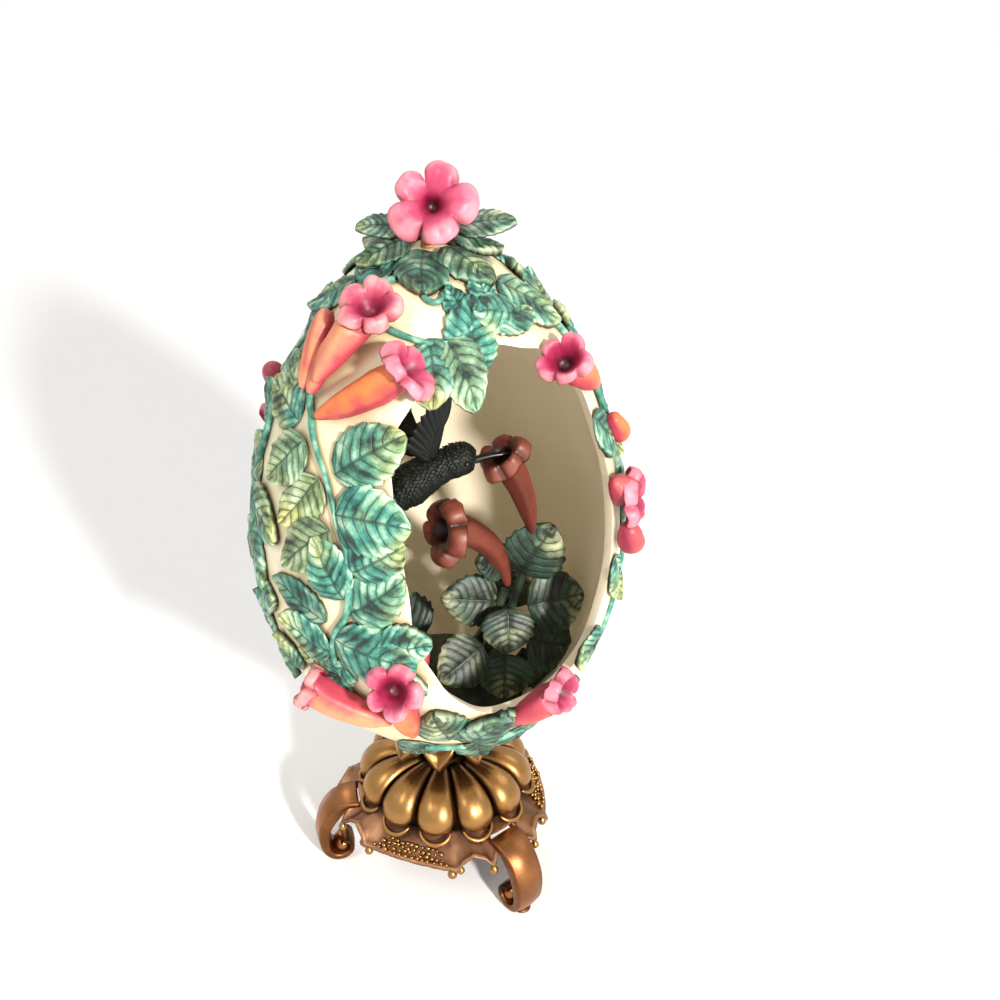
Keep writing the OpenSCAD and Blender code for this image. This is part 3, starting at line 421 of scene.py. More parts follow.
def drops():
    """One drop under each point of the skirt."""
    turns = [(i * foot_step + s * a, a) for i in range(3) for s in (-1, 1) for a in (13.5, 30.2, 34.8)]
    places = []
    for turn, near in turns:
        r = np.interp(near, *zip(*edge_reach))
        z = np.interp(near, *zip(*edge_height))
        places.append(round_stand(r - skirt_wall / 2, turn, z - 0.1 - drop_d / 2))
    t = np.radians(np.linspace(-89, 89, 11))[:, None]
    a = np.radians(np.arange(0, 360, 30.0))[None, :]
    r = 0.5 * np.cos(t) * (1 - 0.3 * np.maximum(np.sin(t), 0))
    shape = np.stack(np.broadcast_arrays(r * np.cos(a), r * np.sin(a), 0.56 * np.sin(t) + 0.06), -1)
    drop = loft("Drop", shape, gold_bright, np.full(shape.shape, 0.9))
    piece = set_copies("Skirt_drops", drop, places, (0, 0, 1), (0, 1, 0), (drop_d,) * 3, 0.1, 4)
    belongs(piece, "gilt_metal", "skirt_drops")


def grains():
    """Four rows of grains along each long edge, a little out of line as hand-set grains are."""
    places, out = [], []
    lean = unit(np.array([0.62, 0, 0.78]))
    for i in range(3):
        for f, count in ((0.55, 11), (0.66, 12), (0.77, 13), (0.88, 14)):
            for k in range(count):
                turn = i * foot_step + foot_step / 2 + (k - (count - 1) / 2) * 3.4
                turn += 0.5 * math.sin(7 * turn + 30 * f)
                r, z, _, _ = skirt_line(np.array(turn), np.array(f + 0.02 * math.sin(11 * turn)))
                places.append(round_stand(r + lean[0] * 0.35, turn, z + lean[2] * 0.35))
                out.append(round_stand(lean[0], turn, lean[2]))
    t = np.radians(np.linspace(-89, 89, 7))[:, None]
    a = np.radians(np.arange(0, 360, 45.0))[None, :]
    shape = 0.5 * np.stack(np.broadcast_arrays(np.cos(t) * np.cos(a), np.cos(t) * np.sin(a), np.sin(t)), -1)
    grain = loft("Grain", shape, gold_bright, np.full(shape.shape, 0.95))
    piece = set_copies("Grain_bands", grain, places, out, (0, 0, 1), (grain_d,) * 3, 0.35, 7)
    belongs(piece, "gilt_metal", "grain_bands")


drops()
grains()


# Bell: a low ribbed dome, cast hollow. Twelve teardrop lobes stand on it, and under the tip of each
# lies a small cup-shaped rim. Between the lobes the bell is painted dark, as wash and painted shade in the
# grooves.
stand_height = 33.4
bell_top = stand_height - 10.4
bell_top_radius = 4.6
lobe_count = 12
lobe_step = 360 / lobe_count
lobe_turns = foot_turn + (np.arange(lobe_count) + 0.5) * lobe_step
lobe_rise = 2.9
cup_radius = 2.9
cup_tilt = 40.0


def keep_solid(node, finish):
    """The CAD solid itself is shown, in this finish."""
    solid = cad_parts[node]
    solid.data.materials.clear()
    solid.data.materials.append(finish)


def bell_line(f):
    """The bell's outside as (radius, height), from its neck to its foot."""
    slant = np.radians(90 * f)
    return (bell_top_radius + (bell_radius - bell_top_radius) * np.sin(slant) ** 0.7,
            bell_foot + (bell_top - bell_foot) * np.cos(slant) ** 0.7)


def round_stand_copies(name, copy, turns):
    """Sets copies of one shape round the stand's axis, each turned to its own angle, and fixes them."""
    turns = np.radians(turns)
    ahead = np.stack([-np.sin(turns), np.cos(turns), 0 * turns], -1)
    piece = set_copies(name, copy, np.zeros((len(turns), 3)), (0, 0, 1), ahead, (1, 1, 1))
    belongs(piece, "gilt_metal", name.lower())


def lobes():
    """Teardrops side by side, each rising from its own half width round the bell's line."""
    f = np.concatenate([[0.015, 0.05], np.linspace(0.1, 0.86, 14), [0.91, 0.95, 0.98, 0.995]])[:, None]
    c = np.concatenate([np.linspace(1, -1, 17), [0.0]])[None, :]
    slant = np.radians(90 * f)
    r, z = bell_line(f)
    half = lobe_step * (0.47 + 0.027 * f) * np.sqrt(1 - 0.96 * f**12)
    crest = np.sqrt(np.maximum(1 - np.abs(c) ** 2.1, 0))
    crest[:, -1] = 0
    rise = 0.25 + lobe_rise * (0.35 + 0.65 * f**0.5) * np.sqrt(1 - f**10) * crest
    rise = rise * (1 - 0.06 * np.exp(-((c / 0.12) ** 2)) * (1 - f))
    points = round_stand(r + rise * np.sin(slant), -foot_turn + half * c,
                         z + rise * (np.cos(slant) - 0.3 * f**2))
    marks = np.zeros(points.shape)
    # Red mark: bright along each crest, where the gilt is rubbed, and dark towards the grooves and the neck,
    # as wash and painted shade.
    marks[..., 0] = np.clip(0.2 + 0.75 * crest**0.6 - 0.2 * (1 - f) ** 3, 0, 1)
    lobe = loft("Lobe", points, gold_bright, marks)
    round_stand_copies("Bell_lobes", lobe, lobe_turns)


def cups():
    """A bent round bar under each lobe's tip, thinner towards both ends."""
    centre = np.array([bell_radius + 0.5, 0, bell_foot + 0.8])
    sweep = np.radians(np.linspace(-84, 84, 25))[:, None, None]
    tilt = math.radians(cup_tilt)
    ring = np.radians(np.arange(0, 360, 36.0))[None, :, None]
    rim = 0.52 * np.sqrt(np.cos(sweep * 0.98)) * (1 + 0 * ring)
    flat_x = (cup_radius + rim * np.cos(ring)) * np.cos(sweep)
    flat_y = (cup_radius + rim * np.cos(ring)) * np.sin(sweep)
    flat_z = -rim * np.sin(ring) + 0 * sweep
    points = centre + np.concatenate([flat_x * math.cos(tilt) + flat_z * math.sin(tilt), flat_y,
                                      -flat_x * math.sin(tilt) + flat_z * math.cos(tilt)], -1)
    cup = loft("Cup", points, gold_bright, np.full(points.shape, 0.85))
    round_stand_copies("Lobe_cups", cup, lobe_turns - 90)


keep_solid("stand_bell", gold_washed_and_shaded)
lobes()
cups()


# Crown: ten folded petals spread from the neck and carry the dished seat under the egg. They are
# cast thin, each with a deep valley down its middle and a rounded lip.
crown_root = 5.4
crown_low = stand_height - 3.2
petal_length = 6.8
petal_count = 10
petal_turn = -34.0
petal_wall = 0.76


def crown():
    """Folded petals that start side by side at the neck and narrow to a drooping tip."""
    s = np.linspace(0, 1, 17)[:, None]
    c = np.linspace(-1, 1, 13)[None, :]
    x = crown_root + petal_length * s
    marked_at = [0, 0.3, 0.62, 0.88, 1]
    share = np.interp(s, marked_at, [0.94, 0.97, 0.98, 0.72, 0.1])
    width = share * x * math.tan(math.pi / petal_count)
    arch = np.interp(s, marked_at, [0, 1.9, 2.3, 1.3, -0.4])
    fold = np.interp(s, marked_at, [0.6, 1.5, 2.1, 1.5, 0.2])
    z = crown_low + arch + fold * np.abs(c) ** 1.15
    lip = 0.16 * np.abs(c) ** 6 + 0.12 * s**8
    top = np.stack(np.broadcast_arrays(x, width * c, z + petal_wall / 2 + lip), -1)
    bottom = np.stack(np.broadcast_arrays(x, width * c, z - petal_wall / 2 - lip), -1)[:, ::-1]
    points = np.concatenate([bottom, top], 1)[:, ::-1]
    marks = np.zeros(points.shape)
    # Red mark: bright on the folds' edges, where the gilt is rubbed, darker down the valley and towards the
    # neck as wash and painted shade, and low underneath as painted shade.
    marks[:, :13, 0] = (0.25 + 0.7 * np.abs(c[:, ::-1]) ** 0.8) * (0.55 + 0.45 * s)
    marks[:, 13:, 0] = 0.3
    petal = loft("Petal", points, gold_bright, marks)
    round_stand_copies("Crown_petals", petal, petal_turn + np.arange(petal_count) * 360 / petal_count - 90)


crown()
# The seat under the egg takes the darker gilt, painted shade where the egg covers it.
keep_solid("egg_seat", gold_washed_and_shaded)


# Fixing: a steel stud, nut and washer under the bell pull the egg down on its seat, and a plaster
# plug in the egg's foot takes the stud. All of it is out of sight once the egg stands.
def plain(name, base, rough, **more):
    """An even finish with a faint cloudiness, so that it doesn't look like plastic."""
    material, tree, shader = new_finish(name, {"Roughness": rough, **more})
    place = (add_node(tree, "TexCoord"), "Object")
    cloud = add_node(tree, "TexNoise", {"Vector": place, "Scale": spots(8.33), "Detail": 4.0})
    dark = [c * 0.72 for c in colour(base)[:3]] + [1.0]
    mixed = add_node(tree, "Mix", {"Factor": cloud, "A": dark, "B": colour(base)}, data_type="RGBA")
    tree.links.new(output(mixed), shader.inputs["Base Color"])
    return material


steel = plain("zinc plated steel", "#9fa1a0", 0.35, Metallic=1.0)
plaster = plain("casting plaster", "#d8ccb2", 0.8)
for fixing in ("tie_stud", "tie_nut", "tie_washer"):
    keep_solid(fixing, steel)
keep_solid("base_plug", plaster)


# Egg: slip-cast ceramic shell with a large oval window cut through its front while still damp, so
# the window's edge is a little uneven and softly rounded. Satin cream glaze, darkened to brown
# round the leaves, as a thin wash and as painted shade.
shell_low, shell_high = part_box("egg_shell")
half_height = (shell_high.z - shell_low.z) / 2 / MM
egg_centre = (shell_high.z + shell_low.z) / 2 / MM
egg_radius = (shell_high.x - shell_low.x) / 2 / MM / 1.0066
egg_taper = 0.115
shell_wall = 1.6
window_rise = 6.0
window_half_width = 19.0
window_half_height = 30.0
window_squareness = 2.3
window_edge_round = 0.32
stud_hole_radius = 1.7
wash_and_shade_reach = 2.2
shell_rings = 121
shell_sides = 192


def egg_r(t, h=0.0):
    """The egg's radius at a latitude and a height over its shell."""
    s = np.sin(np.radians(t))
    return (egg_radius + h) * np.cos(np.radians(t)) * (1 - egg_taper * s)


def egg_z(t, h=0.0):
    """How high a latitude lies, at a height over the shell."""
    return egg_centre + (half_height + h) * np.sin(np.radians(t))


def on_egg(lon, t, h=0.0):
    """A place on the egg as longitude and latitude in degrees, at a height over the shell."""
    r, a = egg_r(t, h), np.radians(lon)
    return np.stack(np.broadcast_arrays(r * np.sin(a), -r * np.cos(a), egg_z(t, h)), -1)


def lat_of(q):
    """The egg's latitude at points near its surface."""
    s = 0.0
    reach = np.hypot(q[..., 0], q[..., 1]) / egg_radius
    for _ in range(3):
        t = np.degrees(np.arctan2((q[..., 2] - egg_centre) / half_height, reach / (1 - egg_taper * s)))
        s = np.sin(np.radians(t))
    return t


def draped(q, h):
    """Points near the egg brought to a height over its shell."""
    return on_egg(np.degrees(np.arctan2(q[..., 0], -q[..., 1])), lat_of(q), h)


def east(lon):
    """The direction in which longitude grows."""
    return np.array([math.cos(math.radians(lon)), math.sin(math.radians(lon)), 0.0])


def north(lon, t):
    """The direction along the shell in which latitude grows."""
    return unit(on_egg(lon, t + 0.01) - on_egg(lon, t - 0.01))


def window_edge(a):
    """The window's edge as (x, height over its middle), at an angle round it."""
    c, s = np.cos(a), np.sin(a)
    ragged = 0.35 * np.sin(3 * a + 0.6) + 0.28 * np.sin(7 * a + 2.0) + 0.16 * np.sin(13 * a)
    x = np.sign(c) * (window_half_width + ragged) * np.abs(c) ** (2 / window_squareness)
    z = np.sign(s) * (window_half_height + ragged) * np.abs(s) ** (2 / window_squareness)
    return x, z


def shell():
    """Two skins, one inside the other, with the window and the stud's hole cut through both."""
    t = np.linspace(-90, 90, shell_rings)
    outside = np.stack([egg_r(t), egg_z(t)], -1)
    inside = np.stack([egg_r(t, -shell_wall), egg_z(t, -shell_wall)], -1)
    sides = shell_sides
    turn = np.arange(sides) / sides * 2 * np.pi
    points, faces = [], []
    for line, out in ((outside, True), (inside, False)):
        start = len(points)
        points.append([0, 0, line[0, 1]])
        for r, z in line[1:-1]:
            points += np.stack([r * np.sin(turn), -r * np.cos(turn), z + 0 * turn], -1).tolist()
        points.append([0, 0, line[-1, 1]])
        rings = len(line) - 2
        for k in range(sides):
            m = (k + 1) % sides
            low, high = start + 1, start + 1 + (rings - 1) * sides
            ring = [[start, low + m, low + k], [high + k, high + m, start + 1 + rings * sides]]
            for i in range(rings - 1):
                at = start + 1 + i * sides
                ring.append([at + k, at + m, at + sides + m, at + sides + k])
            faces += ring if out else [f[::-1] for f in ring]
    marks = np.zeros((len(points), 3))
    marks[len(points) // 2 :, 0] = 1
    egg = mesh_piece("Egg_shell", points, faces, glaze, marks)
    a = np.linspace(0, 2 * np.pi, 220, endpoint=False)
    x, z = window_edge(a)
    ring = np.stack([x, 0 * x, z + egg_centre + window_rise], -1)
    cutter = loft("Window cutter", np.stack([ring + [0, y, 0] for y in (-2, -20, -40, -60)]), glaze)
    b = np.radians(np.arange(0, 360, 15))
    ring = stud_hole_radius * np.stack([np.cos(b), np.sin(b), 0 * b], -1)
    drill = loft("Stud cutter", np.stack([ring + [0, 0, z] for z in (28, 30, 34, 38)]), glaze)
    for tool in (cutter, drill):
        cut = egg.modifiers.new("Cut", "BOOLEAN")
        cut.operation = "DIFFERENCE"
        cut.solver = "EXACT"
        cut.object = tool
    edge = egg.modifiers.new("Soft edge", "BEVEL")
    edge.width = window_edge_round * MM
    edge.segments = 3
    edge.limit_method = "ANGLE"
    edge.angle_limit = math.radians(40)
    as_plain_mesh(egg)
    for tool in (cutter, drill):
        bpy.data.objects.remove(tool)
    belongs(egg, "shell", "egg_shell")


def glaze_finish():
    """Satin cream glaze: a soft even sheen, faint cloudiness, and a brown wash and painted shade near the
    leaves, where little open air reaches.
    """
    sockets = {"Roughness": 0.42, "Coat Weight": 0.25, "Coat Roughness": 0.22}
    material, tree, shader = new_finish("satin cream glaze", sockets)
    place, _, marks = paint_marks(tree)
    cloud = add_node(tree, "TexNoise", {"Vector": place, "Scale": spots(11.1), "Detail": 6.0})
    fine = add_node(tree, "TexNoise", {"Vector": place, "Scale": spots(1.429), "Detail": 3.0})
    base = add_node(tree, "ValToRGB", {"Fac": cloud},
                    stops=[(0.3, "#e2d2a4"), (0.5, "#f0e3bb"), (0.7, "#f7eed2")])
    # Near the leaves and in nooks little open air reaches, and there the glaze is mixed towards brown: a thin
    # wash and painted shade.
    open_air = add_node(tree, "AmbientOcclusion", {"Distance": wash_and_shade_reach * MM}, samples=6)
    wash_and_shade = add_node(tree, "MapRange", {"Value": (open_air, "AO"), "From Min": 0.35, "From Max": 0.85,
                                       "To Min": 0.65, "To Max": 0.0})
    outside = add_node(tree, "Mix", {"Factor": wash_and_shade, "A": base, "B": colour("#8f6a3a")}, data_type="RGBA")
    paint = add_node(tree, "Mix", {"Factor": (marks, "Red"), "A": outside, "B": colour("#e9dec4")},
                     data_type="RGBA")
    lay_on(tree, shader, paint, fine, 0.08, 0.1)
    return material


glaze = glaze_finish()
shell()


# Stems: wire-cored vines of painted resin, laid on the shell through their places and glued down.
# Each is a tube along its own line, a little uneven as hand-rolled clay is.
def stem_tree():
    """Turns lines into uneven round stems, whose radius comes from their own thick mark."""
    tree, given = making_tree("Stem along a line", {"Sides": "Int", "Unevenness": "Float"})
    thick = add_node(tree, "GeometryNodeInputNamedAttribute", {"Name": "thick"}, data_type="FLOAT")
    place = add_node(tree, "GeometryNodeInputPosition")
    knots = add_node(tree, "TexNoise", {"Vector": place, "Scale": spots(1.923), "Detail": 2.0})
    spread = add_node(tree, "Math", {0: knots, 1: -0.5}, operation="ADD")
    bumpy = add_node(tree, "Math", {0: spread, 1: (given, "Unevenness"), 2: 1.0},
                     operation="MULTIPLY_ADD")
    radius = add_node(tree, "Math", {0: thick, 1: bumpy}, operation="MULTIPLY")
    line = add_node(tree, "GeometryNodeMeshToCurve", {"Mesh": (given, "Geometry")})
    set_radius = add_node(tree, "GeometryNodeSetCurveRadius", {"Curve": line, "Radius": radius})
    ring = add_node(tree, "GeometryNodeCurvePrimitiveCircle", {"Resolution": (given, "Sides"), "Radius": 1.0})
    tube = add_node(tree, "GeometryNodeCurveToMesh", {"Curve": set_radius, "Profile Curve": ring,
                                                      "Scale": radius, "Fill Caps": True})
    give_out(tree, given, tube)
    return tree


def stems(name, lines, finish, sides=14, uneven=0.35):
    """Stems along several lines, each a list of (points in mm, radii in mm)."""
    points, edges, thick = [], [], []
    for line, radii in lines:
        edges += [(len(points) + i, len(points) + i + 1) for i in range(len(line) - 1)]
        points += (np.asarray(line) * MM).tolist()
        thick += (np.broadcast_to(radii, len(line)) * MM).tolist()
    mesh = bpy.data.meshes.new(name)
    mesh.from_pydata(points, edges, [])
    mesh.attributes.new("thick", "FLOAT", "POINT").data.foreach_set("value", thick)
    piece = bpy.data.objects.new(name, mesh)
    bpy.context.scene.collection.objects.link(piece)
    made_by_nodes(piece, stem_maker, Sides=sides, Unevenness=uneven, Finish=finish)
    return piece


def leaf_finish(name, dark, mid, light, pale, warm):
    """Painted resin leaf: thin engraved veins, brushed strokes of colour, and pale where it is rubbed.

    The marks are the place along the leaf, the place across it, its warmth and how much light it got.
    """
    material, tree, shader = new_finish(name, {"Roughness": 0.5, "Coat Weight": 0.1, "Coat Roughness": 0.35})
    place, mark, marks = paint_marks(tree)
    across = add_node(tree, "Math", {0: (marks, "Green"), 1: 2.0, 2: -1.0}, operation="MULTIPLY_ADD")
    far = add_node(tree, "Math", {0: across}, operation="ABSOLUTE")
    slant = add_node(tree, "Math", {0: far, 1: vein_slant}, operation="POWER")
    level = add_node(tree, "Math", {0: slant, 1: -vein_rise, 2: (marks, "Red")}, operation="MULTIPLY_ADD")
    wander = add_node(tree, "TexNoise", {"Vector": place, "Scale": spots(3.03), "Detail": 2.0})
    shake = add_node(tree, "Math", {0: wander, 1: 0.6, 2: -0.1}, operation="MULTIPLY_ADD")
    phase = add_node(tree, "Math", {0: level, 1: vein_count, 2: shake}, operation="MULTIPLY_ADD")
    near = add_node(tree, "Math", {0: phase, 1: 0.5}, operation="PINGPONG")
    side_vein = add_node(tree, "MapRange", {"Value": near, "From Min": 0.02, "From Max": 0.13,
                                            "To Min": 1.0, "To Max": 0.0},
                         interpolation_type="SMOOTHSTEP")
    thinner = add_node(tree, "Math", {0: far, 1: -0.55, 2: 1.0}, operation="MULTIPLY_ADD")
    before_tip = add_node(tree, "MapRange", {"Value": (marks, "Red"), "From Min": 0.78, "From Max": 0.93,
                                             "To Min": 1.0, "To Max": 0.0})
    fading = add_node(tree, "Math", {0: thinner, 1: before_tip}, operation="MULTIPLY")
    vein = add_node(tree, "Math", {0: side_vein, 1: fading}, operation="MULTIPLY")
    rib = add_node(tree, "MapRange", {"Value": far, "From Min": 0.01, "From Max": 0.09,
                                      "To Min": 0.9, "To Max": 0.0},
                   interpolation_type="SMOOTHSTEP")
    engraved = add_node(tree, "Math", {0: vein, 1: rib}, operation="MAXIMUM")
    spot = add_node(tree, "SeparateXYZ", {"Vector": place})
    own = add_node(tree, "Math", {0: (spot, "Z"), 1: 90.0}, operation="MULTIPLY")
    broad = add_node(tree, "Math", {0: phase, 1: 0.45}, operation="MULTIPLY")
    grid = add_node(tree, "CombineXYZ", {"X": broad, "Y": across, "Z": own})
    stroke = add_node(tree, "TexNoise", {"Vector": grid, "Scale": 1.3, "Detail": 3.0})
    patch = add_node(tree, "TexNoise", {"Vector": place, "Scale": spots(3.85), "Detail": 7.0,
                                        "Roughness": 0.68})
    both = add_node(tree, "Math", {0: stroke, 1: patch}, operation="ADD")
    uneven = add_node(tree, "Math", {0: both, 1: 1.9, 2: -1.52}, operation="MULTIPLY_ADD")
    rim = add_node(tree, "Math", {0: far, 1: 9.0}, operation="POWER")
    cushion = add_node(tree, "Math", {0: near, 1: 0.5, 2: uneven}, operation="MULTIPLY_ADD")
    rubbed = add_node(tree, "Math", {0: rim, 1: 0.28, 2: cushion}, operation="MULTIPLY_ADD")
    paint = add_node(tree, "ValToRGB", {"Fac": rubbed},
                     stops=[(0.12, dark), (0.4, mid), (0.66, light), (0.95, pale)])
    hue = add_node(tree, "TexNoise", {"Vector": place, "Scale": spots(10.5), "Detail": 3.0})
    outer = add_node(tree, "Math", {0: (marks, "Red"), 1: 0.22, 2: hue}, operation="MULTIPLY_ADD")
    yellow = add_node(tree, "MapRange", {"Value": outer, "From Min": 0.62, "From Max": 0.8,
                                         "To Min": 0.0, "To Max": 0.7})
    tinted = add_node(tree, "Math", {0: (marks, "Blue"), 1: yellow}, operation="ADD", use_clamp=True)
    toned = add_node(tree, "ValToRGB", {"Fac": rubbed}, stops=[(0.05, dark), (0.5, warm), (1.0, "#dfe0ae")])
    brushed = add_node(tree, "Mix", {"Factor": tinted, "A": paint, "B": toned}, data_type="RGBA")
    cut_share = add_node(tree, "Math", {0: engraved, 1: 0.8}, operation="MULTIPLY")
    cut = add_node(tree, "Mix", {"Factor": cut_share, "A": brushed, "B": colour(dark)}, data_type="RGBA")
    lit = add_node(tree, "Mix", {"Factor": (mark, "Alpha"), "A": colour("#0c1612"), "B": cut},
                   data_type="RGBA")
    grain = add_node(tree, "TexNoise", {"Vector": place, "Scale": spots(1.429), "Detail": 3.0})
    stroked = add_node(tree, "Math", {0: stroke, 1: 0.7, 2: grain}, operation="MULTIPLY_ADD")
    relief = add_node(tree, "Math", {0: engraved, 1: -0.9, 2: stroked}, operation="MULTIPLY_ADD")
    lay_on(tree, shader, lit, relief, 0.55, 0.25)
    return material


def brushed_finish(name, dark, mid, light, spot=3.85):
    """Painted resin without veins: brushed strokes from dark to light over small lumps."""
    material, tree, shader = new_finish(name, {"Roughness": 0.55})
    place = (add_node(tree, "TexCoord"), "Object")
    patch = add_node(tree, "TexNoise", {"Vector": place, "Scale": spots(spot), "Detail": 5.0})
    paint = add_node(tree, "ValToRGB", {"Fac": patch}, stops=[(0.34, dark), (0.5, mid), (0.66, light)])
    lay_on(tree, shader, paint, patch, 0.4, 0.3)
    return material


vein_count = 7.0
vein_slant = 1.3
vein_rise = 0.24
stem_maker = stem_tree()
leaf_teal = leaf_finish("teal painted resin", "#0b2a23", "#276f60", "#559a84", "#b0cfb2", "#a9ac5e")
leaf_forest = leaf_finish("dark green painted resin", "#0a1a14", "#22533f", "#456f5c", "#8aa58a", "#66713f")
# The garden's leaf paint is a darker copy, painted shade for the shade inside the egg.
leaf_garden_shaded = leaf_finish("grey green painted resin", "#060e0a", "#183123", "#264532", "#375541", "#434a2a")

stem_radius = 0.7
glue_gap = 0.1
leaf_rise = 1.0
leaf_rows = 30
leaf_columns = 19


def leaf_grid():
    """One leaf as (along, across, its share across, height), with teeth, cushions and a middle groove."""
    v = np.linspace(0, 1, leaf_rows)[:, None] ** 0.94
    u = np.linspace(-1, 1, leaf_columns)[None, :]
    wide = np.maximum(v, 1e-4) ** 0.52 * (1 - 0.985 * v) ** 0.75 / 0.414
    phase = vein_count * (v - vein_rise * np.abs(u) ** vein_slant) + 0.2
    saw = phase - np.floor(phase)
    teeth = 1 + 0.13 * (saw - 0.5) * np.abs(u) ** 8 * np.sin(np.pi * v) ** 0.3
    across = u * wide * teeth
    pillow = np.abs(np.sin(np.pi * phase)) ** 0.6
    middle = np.exp(-((across / 0.1) ** 2))
    swell = 1 - 0.85 * np.abs(u) ** 3.2
    cushion = (pillow - 0.6) * np.abs(u) ** 0.35 * (1 - np.abs(u) ** 6)
    height = 0.30 + 0.6 * swell + 0.28 * cushion - 0.32 * middle
    height = height * np.minimum(1, 4 * v + 0.35)
    return v + 0 * u, across, u + 0 * v, height


leaf_v, leaf_u, leaf_share, leaf_h = leaf_grid()


def closed_sheet(top, under):
    """Points and faces of a thin closed sheet, from a grid for its face and one for its back."""
    rows, columns = top.shape[:2]
    n = rows * columns
    faces = grid_faces(rows, columns)
    faces += [[n + k for k in reversed(f)] for f in grid_faces(rows, columns)]
    far = (rows - 1) * columns
    edges = [(a, a + columns) for a in range(0, far, columns)]
    edges += [(a + columns, a) for a in range(columns - 1, far, columns)]
    edges += [(k + 1, k) for k in range(columns - 1)] + [(far + k, far + k + 1) for k in range(columns - 1)]
    faces += [[a, b, n + b, n + a] for a, b in edges]
    return np.concatenate([top.reshape(-1, 3), under.reshape(-1, 3)]), faces


def leaf_mesh(top, under, tint):
    """A closed leaf with its paint marks, from a grid for its face and one for its back."""
    points, faces = closed_sheet(top, under)
    n = leaf_v.size
    marks = np.zeros((2 * n, 4))
    marks[:, 0] = np.tile(leaf_v.ravel(), 2)
    marks[:, 1] = np.tile(leaf_share.ravel() / 2 + 0.5, 2)
    marks[:, 2] = tint[1]
    # The fourth mark is painted shade: the leaf's back stays at 0 and is painted near black, its foot is
    # darker, and a tint's first value darkens a whole leaf as shade.
    marks[:n, 3] = (1 - tint[0]) * (1 - 0.35 * (1 - leaf_v.ravel()) ** 3)
    return points, faces, marks


def laid_leaf(lon, t, heading, length, width, lift, luck, tint):
    """A leaf on the egg: its foot's place, heading from north, size and height under it."""
    base = on_egg(lon, t)
    a = math.radians(heading)
    ahead = north(lon, t) * math.cos(a) + east(lon) * math.sin(a)
    side = east(lon) * math.cos(a) - north(lon, t) * math.sin(a)
    f = 0.03 + 0.97 * leaf_v
    bend = luck.uniform(-0.16, 0.16)
    flat = (base + ahead * (length * f)[..., None]
            + side * (width / 2 * leaf_u + bend * length * f**2)[..., None])
    curl = luck.uniform(0.3, 1.5)
    raise_tip = curl * f**3
    roll = luck.uniform(-0.25, 0.45) * np.abs(leaf_u) ** 4 + luck.uniform(-0.3, 0.3) * leaf_u
    wave = 0.2 * np.sin(9 * f + luck.uniform(0, 6)) * leaf_u
    lump = 0.14 * np.sin(6 * leaf_u + luck.uniform(0, 6)) * np.sin(13 * f + luck.uniform(0, 6))
    h = glue_gap + lift + leaf_rise * leaf_h + raise_tip + np.maximum(roll + wave + lump, -0.35)
    top = draped(flat, np.maximum(h, glue_gap + lift + 0.2))
    under = draped(flat, np.maximum(glue_gap + lift + 0 * h, h - 1.15))
    return leaf_mesh(top, under, tint)


def free_leaf(foot, tip, facing, width, luck, tint):
    """A leaf that stands free, from its foot to its tip, with its face turned towards a direction."""
    foot, tip = np.asarray(foot, float), np.asarray(tip, float)
    length = np.linalg.norm(tip - foot)
    ahead = (tip - foot) / length
    side = unit(np.cross(ahead, facing))
    up = np.cross(side, ahead)
    f = 0.02 + 0.98 * leaf_v
    arch = -0.12 * f**2 * length
    cup = luck.uniform(0.0, 0.35) * np.abs(leaf_u) ** 2
    middle = (foot + ahead * (length * f)[..., None] + side * (width / 2 * leaf_u)[..., None])
    top = middle + up * (arch + 0.25 + 0.85 * leaf_h + cup)[..., None]
    under = middle + up * (arch - 0.1 + 0.35 * np.abs(leaf_u) + cup)[..., None]
    return leaf_mesh(top, under, tint)


def leaf_piece(name, made, finish):
    """Several leaves as one mesh."""
    points, faces, marks, start = [], [], [], 0
    for p, f, m in made:
        points.append(p)
        faces += [[start + k for k in face] for face in f]
        marks.append(m)
        start += len(p)
    return mesh_piece(name, np.concatenate(points), faces, finish, np.concatenate(marks))


def stem_on_egg(places):
    """A stem's line over the shell, with its radii, through places given as (longitude, latitude)."""
    line = smooth_line([(lon, t, 0) for lon, t in places], 8)
    share = np.linspace(0, 1, len(line))
    ends = np.interp(share, [0, 0.03, 0.95, 1], [0.75, 1, 1, 0.6])
    radii = stem_radius * (0.68 + 0.12 * np.cos(share * 9)) * ends
    return on_egg(line[:, 0], line[:, 1], glue_gap + 0.75 * stem_radius), radii


def vine(name, slot, stem_places, leaf_places, finish, seed, leaf_shade_and_warmth=None):
    """A vine on the shell: its stem and its leaves, two meshes for one glued-on piece."""
    luck = np.random.default_rng(seed)
    made = []
    for i, place in enumerate(leaf_places):
        # A tint is (painted shade, warmth): its first value darkens the leaf as painted shade.
        tint = (leaf_shade_and_warmth or {}).get(i, (0.0, luck.choice([0.0, 0.08, 0.3], p=[0.6, 0.3, 0.1])))
        made.append(laid_leaf(*place, luck, tint))
    green = leaf_piece(name + "_leaves", made, finish)
    wood = stems(name, [stem_on_egg(stem_places)], finish_of_stem)
    belongs(green, slot, name.lower())
    belongs(wood, slot, name.lower())


finish_of_stem = brushed_finish("painted stem", "#20584b", "#4a8d7b", "#9cc3ab", 2.38)


